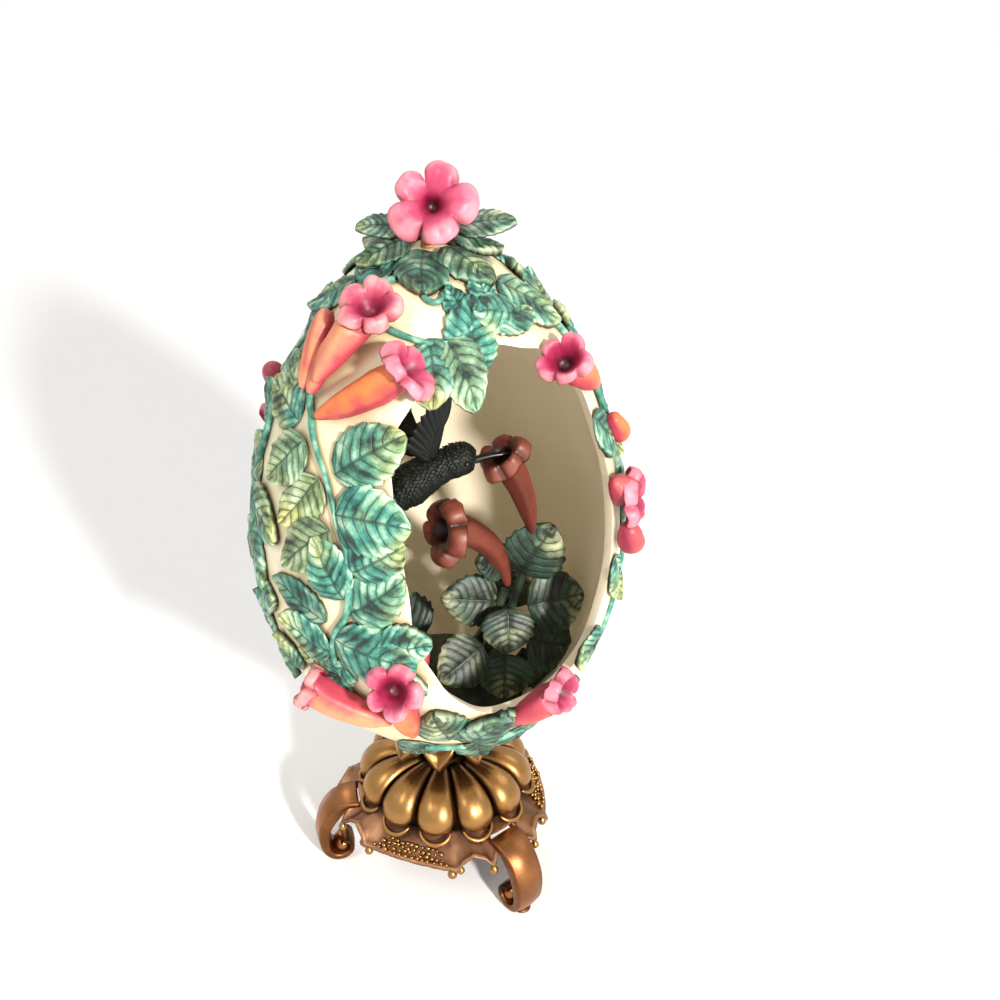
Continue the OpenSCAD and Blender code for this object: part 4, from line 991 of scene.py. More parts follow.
# Left vines: one over the left of the window's rim, where the long buds and the side flower grow,
# and one behind it. Leaves of painted resin, pressed in a mould and glued on one by one.
vine("Vine_left", "leaf_paint",
     [(-83, 39), (-78, 35), (-73, 30), (-64, 23), (-59, 16), (-55, 10), (-54, 5), (-55, -3),
      (-59, -8), (-61, -15), (-57, -24)],
     [(-82, 31, -69, 12, 8.5, 0), (-76, 29, -144, 11, 8, 0.4), (-62, 24, 48, 14.5, 9, 0.3),
      (-60, 17, 84, 13, 10.5, 0.6), (-67, 23, -152, 11.5, 7.5, 0.2), (-60, 14, -128, 12.5, 7.5, 0.6),
      (-55, 0, -38, 11, 8, 0.3), (-54, 6, 57, 11, 8.5, 0.3), (-55, -3, 55, 12.5, 9, 0),
      (-62, -7, -62, 12.5, 6.5, 0), (-61, -14, -76, 10.5, 7.5, 0.4), (-60, -9, 104, 15, 10.5, 0.6),
      (-61, -21, -70, 8, 6, 0), (-78, -26, -40, 8, 6, 0.2), (-57, -16, -150, 8, 6, 0),
      (-47, -9, 84, 9.5, 8, 0.5), (-52, -18, 96, 11, 8, 0.2)],
     leaf_teal, 11, {4: (0.0, 0.55), 5: (0.25, 0.45), 9: (0.35, 0.0), 12: (0.4, 0.1)})
vine("Vine_far_left", "leaf_paint",
     [(-112, -38), (-106, -26), (-103, -14), (-105, 0), (-106, 12), (-103, 24), (-108, 36), (-104, 48)],
     [(-102, 11, -50, 10, 7, 0), (-104, 10, 98, 12.5, 8, 0.4), (-107, 2, 128, 12, 8, 0),
      (-98, -25, -16, 10, 7, 0), (-104, -6, -70, 10, 7, 0.2), (-100, 46, -30, 10, 7, 0),
      (-107, 33, 35, 10, 7, 0.2), (-104, 26, -72, 9, 6.5, 0), (-103, -12, 80, 10, 7, 0),
      (-108, -30, -75, 9, 6.5, 0.2), (-107, -30, 110, 9, 6.5, 0)],
     leaf_teal, 12)


# Shoulder and right vines: they frame the top and the right of the window, close to its rim. The
# same painted leaves, with narrower ones where the wall beside the window is thin.
vine("Vine_shoulder", "leaf_paint",
     [(-58, 57), (-36, 54), (-22, 53), (-6, 56), (10, 58), (24, 57)],
     [(-30, 55, 170, 10.5, 8, 0.2), (-22, 54, 152, 11, 7, 0.6), (-14, 46, 20, 12, 8, 0),
      (4, 55, 70, 9, 6, 0.2), (26, 55, -60, 9, 6.5, 0.3), (28, 66, 148, 12, 7, 0.2),
      (10, 60, 0, 6.5, 4.5, 0), (-6, 58, -20, 6, 4.5, 0)],
     leaf_teal, 13)
vine("Vine_right", "leaf_paint",
     [(44, -40), (50, -30), (52, -18), (52, -6), (52, 6), (53, 18), (56, 30), (54, 42), (46, 52), (36, 60)],
     [(40, 27, 150, 11, 7, 0.2), (38, -4, 172, 9, 5.5, 0.2), (33, -20, -115, 9, 5.5, 0.2),
      (54, 22, 60, 11, 7, 0), (52, 8, 110, 11, 7, 0.2), (52, -8, 60, 11, 7, 0), (52, -20, 120, 10, 6.5, 0.2),
      (48, -34, 70, 10, 6.5, 0), (56, 36, 60, 10, 6.5, 0.2), (48, 51, 60, 10, 6.5, 0)],
     leaf_teal, 14)


# Base vine: broad dark leaves under the window's lower rim, which hang over the crown. They are
# glued on over their stem, and hide the seat between egg and stand.
vine("Vine_base", "dark_leaf_paint",
     [(-36, -48), (-20, -49), (-4, -49), (12, -48), (28, -47)],
     [(-24, -43, -25, 11.5, 9.5, 0), (-20, -43.5, 30, 11, 9, 0.5), (-4, -41.5, -8, 8.5, 8.5, 0.2),
      (4, -40.5, 40, 8.5, 8, 0), (-34, -46, 215, 9, 7, 0), (-14, -46.5, 170, 8.5, 8, 0.3),
      (6, -46.5, 160, 8.5, 8, 0.2), (24, -45, 140, 8.5, 7, 0), (20, -44, 20, 8.5, 6.5, 0.2)],
     leaf_forest, 15)


# Back vines: the same painted leaves, set by turns on both sides of each stem as they grow round
# the back and over the top, each leaning forward from its stem.
def grown(places, count, length, lean, shift):
    """Leaves by turns on both sides of a stem, each leaning forward from it."""
    line = smooth_line([(lon, t, 0) for lon, t in places], 6)[:, :2]
    last = len(line) - 1
    made = []
    for i in range(count):
        k = int(math.floor(last * (i + 0.5) / count + 0.5))
        here, a, b = line[k], line[max(k - 1, 0)], line[min(k + 1, last)]
        way = math.degrees(math.atan2((b[0] - a[0]) * egg_r(here[1]), (b[1] - a[1]) * half_height))
        hand = 1 if (i + shift) % 2 == 0 else -1
        size = length * (1 + 0.14 * math.sin(math.radians(137 * i + 50 * shift)))
        heading = way + hand * (lean + 12 * math.sin(math.radians(97 * i)))
        made.append((here[0], here[1], heading, size, size * 0.62, 0.5 if i % 3 == 0 else 0))
    return made


def back_vine(name, places, count, length, lean, shift, seed):
    """A vine whose leaves are worked out from its stem."""
    vine(name, "leaf_paint", places, grown(places, count, length, lean, shift), leaf_teal, seed)


back_vine("Vine_back_right",
          [(84, -48), (88, -30), (82, -10), (88, 10), (84, 30), (92, 48), (104, 60)], 13, 10.5, 55, 0, 16)
back_vine("Vine_back",
          [(150, -52), (142, -34), (148, -14), (140, 6), (148, 26), (142, 44), (150, 62)],
          13, 10.5, 58, 1, 17)
back_vine("Vine_back_left",
          [(-158, -50), (-150, -34), (-156, -16), (-148, 2), (-154, 20), (-146, 38), (-152, 54)],
          12, 10.5, 58, 0, 18)
back_vine("Vine_top",
          [(-60, 70), (-95, 66), (-130, 68), (-165, 66), (-200, 68), (-235, 66), (-270, 69)], 8, 9, 62, 0, 19)


# Shell flowers: trumpets of soft resin clay, glued on. Each is a ribbed tube that bends along the
# shell and opens in five rounded lobes with a crease, painted by hand from the throat outwards.
petals = 5
face_columns = 80
to_front_left = np.array([-0.4, -0.75, 0.52])
tube_line = [(0.0, 0.2), (0.012, 0.38), (0.04, 0.52), (0.08, 0.62), (0.13, 0.76), (0.19, 0.93), (0.26, 1.1),
             (0.34, 1.24), (0.42, 1.34), (0.5, 1.42), (0.6, 1.5), (0.7, 1.62)]


def flower_finish(name, top, side, throat, face, pale):
    """Painted clay: a tube lit by its top colour over a deeper side, a deep throat painted near black at its
    bottom as painted shade, and rubbed lobes.

    The marks are how much light a point got, its place along the flower and how far up it faces.
    """
    material, tree, shader = new_finish(name, {
        "Roughness": 0.48, "Coat Weight": 0.12, "Coat Roughness": 0.35,
        "Subsurface Weight": 0.06, "Subsurface Radius": (0.8, 0.3, 0.2), "Subsurface Scale": 0.8 * MM})
    place, _, marks = paint_marks(tree)
    cloud = add_node(tree, "TexNoise", {"Vector": place, "Scale": spots(3.85), "Detail": 5.0})
    upward = add_node(tree, "Math", {0: cloud, 1: 0.9, 2: (marks, "Blue")}, operation="MULTIPLY_ADD")
    share = add_node(tree, "MapRange", {"Value": upward, "From Min": 0.95, "From Max": 1.38,
                                        "To Min": 0.0, "To Max": 1.0})
    tube = add_node(tree, "Mix", {"Factor": share, "A": colour(side), "B": colour(top)}, data_type="RGBA")
    uneven = add_node(tree, "Math", {0: cloud, 1: 0.3, 2: -0.15}, operation="MULTIPLY_ADD")
    along = add_node(tree, "Math", {0: (marks, "Green"), 1: uneven}, operation="ADD")
    # The last stop paints the bottom of the throat near black, a painted shade.
    open_face = add_node(tree, "ValToRGB", {"Fac": along},
                         stops=[(0.6, face), (0.74, pale), (0.84, face), (0.93, throat), (1.0, "#2e0b12")])
    is_face = add_node(tree, "MapRange", {"Value": along, "From Min": 0.52, "From Max": 0.62,
                                          "To Min": 0.0, "To Max": 1.0})
    paint = add_node(tree, "Mix", {"Factor": is_face, "A": tube, "B": open_face}, data_type="RGBA")
    shaded = add_node(tree, "Math", {0: uneven, 1: (marks, "Red")}, operation="ADD", use_clamp=True)
    dark = add_node(tree, "Mix", {"Factor": shaded, "A": colour(throat), "B": paint}, data_type="RGBA")
    grain = add_node(tree, "TexNoise", {"Vector": place, "Scale": spots(1.667), "Detail": 4.0})
    lay_on(tree, shader, dark, grain, 0.3, 0.2)
    return material


def trumpet(name, foot, bend, face, flare, mouth, finish, seed,
            on_shell=True, slim=1.0, look=0.0, curl=0.0):
    """A flower as one closed skin: up the outside, over the lobes' edge and down into the throat.

    Look is how far its face turns to the front left, and curl how far its lobes roll back.
    """
    luck = np.random.default_rng(seed)
    foot, bend, face = (np.asarray(p, float) for p in (foot, bend, face))
    depth = 2.6 * (1 - 0.65 * look)
    outward = unit(face - [0, 0, egg_centre])
    aim = unit(outward + 0.8 * max(outward @ to_front_left, 0) * to_front_left)
    way = unit(unit(face - bend) * (1 - look) + aim * look)

    def at(f):
        return foot * (1 - f) ** 2 + bend * 2 * f * (1 - f) + face * f**2

    rings = []
    for f, r in tube_line:
        ahead = unit(at(f + 0.02) - at(f))
        rings.append((at(f), ahead, 1.1 * r * slim, 0.0, f * 0.62, 1.0))
    low = 1.1 * tube_line[-1][1] * slim
    for f, share in ((0.78, 0.35), (0.85, 0.7), (0.91, 0.95)):
        ahead = unit(unit(at(f + 0.02) - at(f)) * (1 - share) + way * share)
        rings.append((at(f), ahead, low + (mouth - low) * share, 0.0, f * 0.56, 0.9))
    reach = flare - mouth
    lobe_line = [(s, -0.6 + 1.5 * math.sin(s * 2.0) - (0.9 + curl) * s**3)
                 for s in (0.08, 0.2, 0.34, 0.48, 0.62, 0.76, 0.88, 0.96, 1.0)]
    for s, rise in lobe_line:
        rings.append((face + way * rise, way, mouth + reach * s, s, 0.58 + 0.06 * s, 0.7))
    for s, rise in lobe_line[::-1]:
        edge = 0.3 + (1.0 - 0.3 * curl) * (1 - s**3) ** 0.5
        rings.append((face + way * (rise + edge), way, mouth * 0.86 + (reach + mouth * 0.14) * s, s,
                      0.9 - 0.18 * s, 1.0))
    for share, r in ((-0.12, 0.78), (0.15, 0.66), (0.42, 0.54), (0.73, 0.42), (1.0, 0.28)):
        centre = face - way * depth * share
        rings.append((centre, way, mouth * r, 0.0, 0.92 + 0.08 * share, 1.0 - 0.2 * share))
    up = np.array([0, 1.0, 0]) if abs(way[2]) > 0.9 else np.array([0, 0, 1.0])
    a = np.linspace(0, 2 * np.pi, face_columns, endpoint=False)
    p = (a / (2 * np.pi) * petals + 0.5) % 1 - 0.5
    lobe = np.maximum(1 - np.abs(2 * p) ** 2.6, 0) ** 0.5
    which = np.floor(a / (2 * np.pi) * petals + 0.5).astype(int) % petals
    lean = luck.uniform(-0.7, 0.7, petals)[which]
    long = 1 + luck.uniform(-0.12, 0.08, petals)[which]
    tip = luck.uniform(-0.5, 0.9, petals)[which]
    points, marks = [], []
    for c, ahead, r, s, along, light in rings:
        side = unit(np.cross(up, ahead))
        top = np.cross(ahead, side)
        notch = 1 - s**0.8 * (1 - (0.6 + 0.4 * lobe)) - s * (1 - long)
        rib = 1 + 0.045 * np.cos(a * petals + seed) * (s == 0) * (along > 0.1) * (along < 0.6)
        w = r * notch * rib
        puff = -0.95 * s**0.7 * np.abs(2 * p) ** 3 - 0.2 * s * np.exp(-((p / 0.06) ** 2))
        ruffle = s**2 * (0.12 * np.sin(a * 13 + seed) + 0.9 * lean * np.sin(np.pi * p) + tip * lobe)
        out = side * np.cos(a)[:, None] + top * np.sin(a)[:, None]
        points.append(c + out * w[:, None] + ahead * (puff + ruffle)[:, None])
        mark = np.zeros((face_columns, 3))
        creases = 0.85 * np.abs(2 * p) ** 5 * (s > 0) + 0.3 * np.exp(-((p / 0.05) ** 2)) * (0.8 > s > 0)
        mark[:, 0] = light - creases
        mark[:, 1] = along
        mark[:, 2] = 0.5 + 0.5 * out @ outward
        marks.append(mark)
    points = np.array(points)
    if on_shell:
        near = draped(points, glue_gap)
        centre = np.array([0, 0, egg_centre])
        inside = np.linalg.norm(points - centre, axis=-1) < np.linalg.norm(near - centre, axis=-1)
        points = np.where(inside[..., None], near, points)
    return loft(name, points, finish, np.array(marks))


coral_flower = flower_finish("coral painted clay", "#e28a62", "#bb4150", "#86123a", "#c24e66", "#e39a98")
pink_flower = flower_finish("pink painted clay", "#d8743c", "#a8303e", "#8c0f3a", "#bb4364", "#dc8894")
rose_flower = flower_finish("rose painted clay", "#bd4f4f", "#96283f", "#840e36", "#b83e60", "#d98291")
rust_flower = flower_finish("rust painted clay", "#75382a", "#551f17", "#280a09", "#63271e", "#804230")

coral_flowers = [
    ("Flower_upper_left", coral_flower, (-74, 40, 3), (-68, 49, 3.6), (-59, 57, 4), 5.2, 2.4, 1, 0.85),
    ("Flower_side_left", pink_flower, (-72, 34, 1.6), (-55, 39, 3), (-38, 45, 4), 5.4, 2.4, 2, 0.15),
    ("Flower_base_left", coral_flower, (-44, -30, 1.6), (-55, -27, 2.8), (-67, -22, 3.4), 4.6, 2.8, 3, 0.1),
    ("Flower_back_high", coral_flower, (126, 30, 1.4), (134, 40, 2.6), (144, 50, 4.4), 5.2, 2.5, 4, 0.3),
    ("Flower_back_low", coral_flower, (-164, -42, 1.4), (-172, -36, 2.6), (-181, -28, 3.6), 4.8, 2.5, 5, 0.3),
]
pink_flowers = [
    ("Flower_upper_right", pink_flower, (48, 31, 1.6), (39, 36, 2.2), (28, 41, 2.8), 4.4, 2.5, 6, 0.45),
    ("Flower_mid_right", rose_flower, (38, 13, 1.2), (42, 10, 1.6), (46, 7, 2.6), 5.4, 2.2, 7, 0.8),
    ("Flower_low_right", rose_flower, (-6, -33, 1.4), (1, -30, 2.2), (8, -25, 2.8), 4.4, 2.5, 8, 0.6),
    ("Flower_low_left", pink_flower, (-38, -35, 1.6), (-39, -25, 2.4), (-41, -16, 3.6), 4.8, 2.5, 9, 0.5),
    ("Flower_back_left", rose_flower, (-138, -10, 1.4), (-146, 0, 2.6), (-156, 8, 4.4), 5.2, 2.5, 10, 0.3),
    ("Flower_back_right", rose_flower, (100, -32, 1.4), (109, -27, 2.6), (119, -20, 4), 5, 2.5, 12, 0.3),
]
for slot, flowers in (("coral_paint", coral_flowers), ("pink_paint", pink_flowers)):
    for name, finish, foot, bend, face, flare, mouth, seed, look in flowers:
        flower = trumpet(name, on_egg(*foot), on_egg(*bend), on_egg(*face), flare, mouth, finish, seed,
                         slim=1.5, look=look)
        belongs(flower, slot, name.lower())


# Buds: closed flowers of the same clay, each a long drop with shallow furrows, glued on the shell
# where a flower would open next.
bud_d = 3.8
bud_length = 6.4


def bud(name, foot, way, length, d, finish):
    """A closed flower: a drop from its foot along a direction, widest near its middle."""
    way = unit(np.asarray(way, float))
    up = np.array([0, 1.0, 0]) if abs(way[2]) > 0.9 else np.array([0, 0, 1.0])
    side = unit(np.cross(up, way))
    top = np.cross(way, side)
    f = np.linspace(0.0, 1.0, 22)[1:-1, None]
    a = np.linspace(0, 2 * np.pi, 30, endpoint=False)[None, :]
    furrow = 1 - 0.07 * np.abs(np.cos(1.5 * (a + 1.1 * f))) ** 8 * np.sin(np.pi * f)
    r = d / 2 * (0.3 + 0.75 * np.sin(np.pi * (0.08 + 0.55 * f))) * np.sqrt(1 - f**7) * furrow
    r = r * np.minimum(1, 0.45 + 4 * f)
    c = np.asarray(foot) + way * (length * f)[..., None]
    points = c + side * (r * np.cos(a))[..., None] + top * (r * np.sin(a))[..., None]
    marks = np.zeros(points.shape)
    marks[..., 0] = 1.0 - 0.6 * (1 - furrow) / 0.07
    marks[..., 1] = 0.4 * f
    outward = unit(np.asarray(foot) + way * length / 2 - [0, 0, egg_centre])
    marks[..., 2] = 0.5 + 0.5 * (np.cos(a) * (side @ outward) + np.sin(a) * (top @ outward))
    return loft(name, points, finish, marks)


made = []
for lon, t, heading, long, thick, finish in (
        (-82, 37, -3, 2.1, 0.95, coral_flower), (-78, 37, 8, 1.6, 0.85, coral_flower),
        (49, 24, 160, 0.95, 1, pink_flower), (40, 3, 160, 1, 1.2, rose_flower),
        (150, 34, -20, 1, 1, rose_flower), (-140, 22, 30, 1, 1, rose_flower),
        (100, -6, 20, 1, 1, rose_flower), (-176, -12, 10, 1, 1, rose_flower)):
    a = math.radians(heading)
    way = north(lon, t) * math.cos(a) + east(lon) * math.sin(a)
    foot = on_egg(lon, t, bud_d / 2 * thick + glue_gap)
    made.append(bud("Bud", foot, way, bud_length * long, bud_d * thick, finish))
belongs(joined("Shell_buds", made), "coral_paint", "shell_buds")


# Finial: one open flower on two short stems at the egg's top, in a rosette of dark leaves. A wire
# tendril curls on the shell beside it.
egg_top = egg_centre + half_height
finial = trumpet("Finial_flower", (1.4, 1.8, egg_top + 2), (1, 0.2, egg_top + 5), (-0.6, -2.2, egg_top + 7.2),
                 6.6, 2.2, pink_flower, 21, on_shell=False, slim=0.9)
belongs(finial, "pink_paint", "finial_flower")
short_stems = []
for x in (-0.6, 3.2):
    line = smooth_line([(x, -0.4, egg_top + glue_gap), (x + 0.2, -0.2, egg_top + 2),
                        (x * 0.4 + 0.9, 0.6, egg_top + 4.2)], 6)
    short_stems.append((line, np.linspace(1, 0.8, len(line))))
orange_stem = brushed_finish("orange painted clay", "#a8501f", "#cf7a35", "#e0a060", 2.5)
belongs(stems("Finial_stems", short_stems, orange_stem), "coral_paint", "finial_stems")
luck = np.random.default_rng(31)
made = [laid_leaf(*p, luck, (0.0, luck.choice([0.0, 0.05, 0.2])))
        for p in ((-40, 84, 180, 9.5, 8.5, 0.3), (-95, 84, 180, 8.5, 7, 1.4), (15, 84, 178, 10, 8, 0.5),
                  (62, 84, 180, 8, 6.5, 1.2), (140, 84, 180, 9, 7.5, 1.3), (-150, 84, 180, 9, 7.5, 1.4))]
made += [free_leaf((a, b, c + egg_top), (d, e, f + egg_top), (0, -0.3, 1), w, luck, (0.0, 0.1))
         for a, b, c, d, e, f, w in ((4.5, -0.5, 1.6, 12, -5.4, 3.6, 7), (-3, 3, 1.6, -9.5, 5.4, 3.4, 6),
                                     (1.6, 4.5, 1.6, 3, 11.4, 2, 6.5))]
belongs(leaf_piece("Finial_leaves", made, leaf_forest), "dark_leaf_paint", "finial_leaves")
turn = np.radians(np.arange(0, 26 * 14 + 1, 9.0))
r = 2.6 - 0.12 * np.degrees(turn) / 26
flat = (on_egg(-24, 66) + east(-24) * (r * np.cos(turn))[:, None]
        + north(-24, 66) * (r * np.sin(turn))[:, None])
belongs(stems("Finial_tendril", [(draped(flat, 0.6), 0.45)], finish_of_stem, 10, 0.2), "leaf_paint",
        "finial_tendril")


# Garden: a mound of painted plaster in the egg's foot, which carries stems and broad resin leaves
# that stand free inside the egg. Its leaves are painted darker than the vines, a painted shade.
def garden_point(p):
    """A place in the garden, whose heights are given from the egg's middle."""
    return np.asarray(p, float) + [0, 0, egg_centre]


mound_top = float(egg_z(-62, -1.7) - egg_centre + 1.68)


def mound():
    """A lumpy disc that fills the egg's foot and follows its wall."""
    t = np.linspace(-62, -84, 8)
    rim = np.stack([egg_r(t, -1.75), egg_z(t, -1.75)], -1)
    top_line = np.array([[0.4, rim[0, 1] + 2.4], [3, rim[0, 1] + 2.3], [6, rim[0, 1] + 1.95],
                         [9, rim[0, 1] + 1.4], [rim[0, 0] - 2, rim[0, 1] + 0.7]])
    line = np.concatenate([top_line, rim])[::-1]
    a = np.linspace(0, 2 * np.pi, 60, endpoint=False)[None, :]
    r, z = line[:, :1], line[:, 1:]
    lump = 0.35 * np.sin(a * 5 + r) * np.sin(r * 1.3 + a * 3) + 0.2 * np.sin(a * 11 - r * 2)
    z = z + lump * (z > rim[0, 1] + 0.3)
    points = np.stack(np.broadcast_arrays(r * np.sin(-a), r * np.cos(a), z), -1)
    return loft("Garden_mound", points, moss)


moss = brushed_finish("moss painted plaster", "#0b140e", "#1f3226", "#3a4c33")
belongs(mound(), "dark_leaf_paint", "garden_mound")
paths = [[(6, -1, mound_top), (9.4, -3.4, -30), (11.8, -5.6, -22), (13.8, -6.6, -13), (14.4, -7.2, -7.6)],
         [(4, 0, mound_top), (7, -2, -30), (9, -4, -24), (10.4, -5.2, -18.6)],
         [(-2, 1, mound_top), (-6, 3, -32), (-11, 4, -26), (-14, 3, -21)],
         [(-3, -2, mound_top), (-5, -4, -35), (-7, -5.2, -30.4)],
         [(8, -5, mound_top), (10, -8, -34), (12, -9.6, -30)],
         [(6, 2, mound_top), (9.6, 1, -31), (13, -0.6, -26.2)],
         [(-1, 4, mound_top), (-0.6, 5, -34.4), (0, 5.8, -32.4)],
         [(2, -4, mound_top), (3.4, -6, -31.4), (4.4, -7, -28)]]
belongs(stems("Garden_stems", [(smooth_line(garden_point(p), 6), 0.8) for p in paths], moss),
        "dark_leaf_paint", "garden_stems")
luck = np.random.default_rng(41)
to_window = (-0.3, -0.85, 0.4)
made = [free_leaf(garden_point(p[:3]), garden_point(p[3:6]), to_window, 1.16 * p[6], luck, (0.1, 0.0))
        for p in ((12.6, -6.4, -15, 17.4, -9.6, -5.5, 9.5), (12.5, -9, -20.5, 22.6, -12.6, -19.5, 10),
                  (12, -10, -27, 20, -12.8, -30, 10), (8, -9.4, -29, 5.4, -13, -36, 9),
                  (4.5, -7.4, -27, -5, -9, -30.5, 8.5), (9.8, -4, -21.4, -0.5, -2.4, -18.4, 8),
                  (9, -8.4, -20, 7, -12, -27, 8), (10.6, -4.4, -12.6, 4.6, -6, -10.4, 6),
                  (13, -1, -26, 19, 7, -22, 9), (0, 6, -32, -5, 13, -26, 9),
                  (-8.5, 3.4, -29, -15, -1, -33, 8), (14, -8.6, -31, 16.6, -13, -38, 8))]
belongs(leaf_piece("Garden_leaves", made, leaf_garden_shaded), "dark_leaf_paint", "garden_leaves")


# Inner flowers: three rust trumpets of the same clay on the garden's stems, with lobes that roll
# back, and one closed bud on a stem of its own.
for name, foot, bend, face, flare, mouth, slim, seed in (
        ("Inner_flower_high", (14.6, -7.4, -6.8), (13, -7.6, 3), (8.4, -7.4, 10.4), 4.8, 2.6, 1.3, 51),
        ("Inner_flower_mid", (10.8, -5.6, -17.6), (8, -6, -3.6), (-2.6, -6.2, -1.2), 6.2, 3.2, 1.4, 52),
        ("Inner_flower_low", (-14.4, 2.8, -20), (-13.6, 1, -12), (-9.4, -1.6, -11.2), 4, 2.2, 1, 53)):
    flower = trumpet(name, garden_point(foot), garden_point(bend), garden_point(face), flare, mouth,
                     rust_flower, seed, on_shell=False, slim=slim, curl=1.6)
    belongs(flower, "rust_paint", name.lower())
inner_bud = bud("Inner_bud", garden_point((-7.2, -5.3, -30)), (-0.1, -0.2, 1), bud_length, bud_d,
                coral_flower)
belongs(inner_bud, "coral_paint", "inner_bud")


# Bird: a hummingbird of cast resin, painted near black with green scales. Its wings and tail are
# separate casts set in its back, and its beak is a black lacquered pin set in the head.
def bird_finish(name, dark, light):
    """Painted feathers: near black between them, with a green or bronze sheen painted on their tips as a
    painted highlight.
    """
    material, tree, shader = new_finish(name, {"Roughness": 0.55, "Specular IOR Level": 0.3})
    _, _, marks = paint_marks(tree)
    paint = add_node(tree, "ValToRGB", {"Fac": (marks, "Red")}, stops=[(0.2, dark), (0.95, light)])
    tree.links.new(output(paint), shader.inputs["Base Color"])
    return material


feather = bird_finish("dark green painted feathers", "#040605", "#151d18")
horn = plain("black lacquer", "#15120f", 0.25)
head = np.array([1.9, -4.6, 10.2])
tail_root = np.array([-10.6, 2, 1.0])
body_line = smooth_line(garden_point([head + [2.2, -1.1, -0.2], head, [-1.4, -3, 8.8], [-5, -1.2, 6.2],
                                      [-8, 0.4, 3.4], tail_root]), 5)
head_half = 2.7
body_half = np.interp(np.arange(26), [0, 1.5, 3, 5, 7, 10, 15, 20, 25],
                      [1.2, 2.05, 2.55, head_half, 2.45, 2.75, 3.4, 2.24, 1.0])
scale_step = 0.55
scale_width = 0.72
wing_length = 13.0
wing_feathers = 9
beak_length = 6.4
eye_d = 1.0


def body():
    """The bird's body, round along its line, and the rows of scales on it."""
    ahead = unit(np.gradient(body_line, axis=0))[:, None]
    side = unit(np.cross([0.3, 0.2, 1], ahead))
    top = np.cross(ahead, side)
    a = np.linspace(0, 2 * np.pi, 40, endpoint=False)[None, :, None]
    r = body_half[:, None, None]
    skin = body_line[:, None] + side * r * np.cos(a) + top * r * np.sin(a)
    shape = loft("Bird_body", skin, feather, np.full(skin.shape, 0.15))
    places, out, way = [], [], []
    for i in np.arange(1.2, 24.5, scale_step):
        k, f = int(i), i - int(i)
        centre = body_line[k] * (1 - f) + body_line[k + 1] * f
        r_here = body_half[k] * (1 - f) + body_half[k + 1] * f
        count = max(8, int(2 * np.pi * r_here / scale_width))
        for n in range(count):
            b = 2 * np.pi * (n + 0.5 * (round(i / scale_step) % 2)) / count
            normal = (side[k, 0] * np.cos(b) + top[k, 0] * np.sin(b))
            places.append(centre + normal * (r_here - 0.02))
            out.append(unit(normal - 0.25 * ahead[k, 0]))
            way.append(ahead[k, 0])
    v = np.linspace(0, 1, 5)[:, None]
    u = np.linspace(-1, 1, 5)[None, :]
    wide = 0.62 * np.sin(np.pi * (0.18 + 0.72 * v)) ** 0.7
    top_face = np.stack(np.broadcast_arrays(u * wide, 1.5 * v - 0.5, 0.14 - 0.1 * u**2 + 0.1 * v), -1)
    points, faces = closed_sheet(top_face, top_face - [0, 0, 0.14])
    marks = np.zeros((len(points), 3))
    # The scales' tips are marked lighter: a painted sheen, a painted highlight.
    marks[: len(points) // 2, 0] = (0.25 + 0.75 * v**1.5 * (1 - 0.4 * np.abs(u))).ravel()
    one = mesh_piece("Scale", points, faces, feather, marks)
    scales = set_copies("Bird_scales", one, places, out, way, (scale_width, 0.8, 0.8), 0.28, 5)
    belongs(shape, "bird_paint", "bird_body")
    belongs(scales, "bird_paint", "bird_body")


def wing(name, root, ahead, trail):
    """A wing as a fan of long feathers that overlap, over a row of short ones."""
    ahead = unit(np.asarray(ahead, float))
    trail = np.asarray(trail, float)
    side = unit(trail - ahead * np.dot(trail, ahead))
    face = np.cross(ahead, side)
    made = []
    for row, (reach, size) in enumerate(((1.0, 1.0), (0.55, 0.5))):
        for i in range(wing_feathers):
            f = i / (wing_feathers - 1)
            start = root + ahead * wing_length * (0.05 + 0.52 * (1 - f)) * reach + side * (0.4 + 0.3 * f)
            lean = 0.12 + 1.05 * f
            way = unit(ahead * math.cos(lean) + side * math.sin(lean))
            long = wing_length * (0.5 - 0.13 * f) * size
            made.append(feather_blade(start, way, face, long, 1.9 - 0.3 * row, 0.1 + 0.16 * row + 0.02 * i))
    bone = loft("Bone", np.array([root + ahead * wing_length * s + side * 0.5
                                  + side * (r * np.cos(b))[:, None] + face * (r * 0.55 * np.sin(b))[:, None]
                                  for b in [np.linspace(0, 2 * np.pi, 14, endpoint=False)]
                                  for s, r in ((0, 0.7), (0.1, 1.1), (0.35, 0.9), (0.6, 0.55), (0.8, 0.3))]),
                feather, np.full((5, 14, 3), 0.35))
    return joined(name, made + [bone])


def feather_blade(start, way, face, length, width, lift):
    """One closed flat feather with a shaft, a rounded tip and fine barbs in its paint."""
    side = unit(np.cross(way, face))
    v = np.linspace(0, 1, 16)[:, None]
    u = np.linspace(-1, 1, 7)[None, :]
    wide = width / 2 * np.sin(np.pi * (0.1 + 0.84 * v)) ** 0.55
    height = lift + 0.12 * (1 - u**2) + 0.08 * np.exp(-((u / 0.2) ** 2)) - 0.3 * v**2
    top = start + way * (length * v)[..., None] + side * (wide * u)[..., None] + face * height[..., None]
    points, faces = closed_sheet(top, top - face * 0.16)
    barbs = 0.4 + 0.6 * np.abs(np.sin(v * 26 + 3 * np.abs(u)))
    marks = np.zeros((len(points), 3))
    marks[: len(points) // 2, 0] = (0.15 + 0.4 * (1 - u**2) * barbs).ravel()
    return mesh_piece("Feather", points, faces, feather, marks)


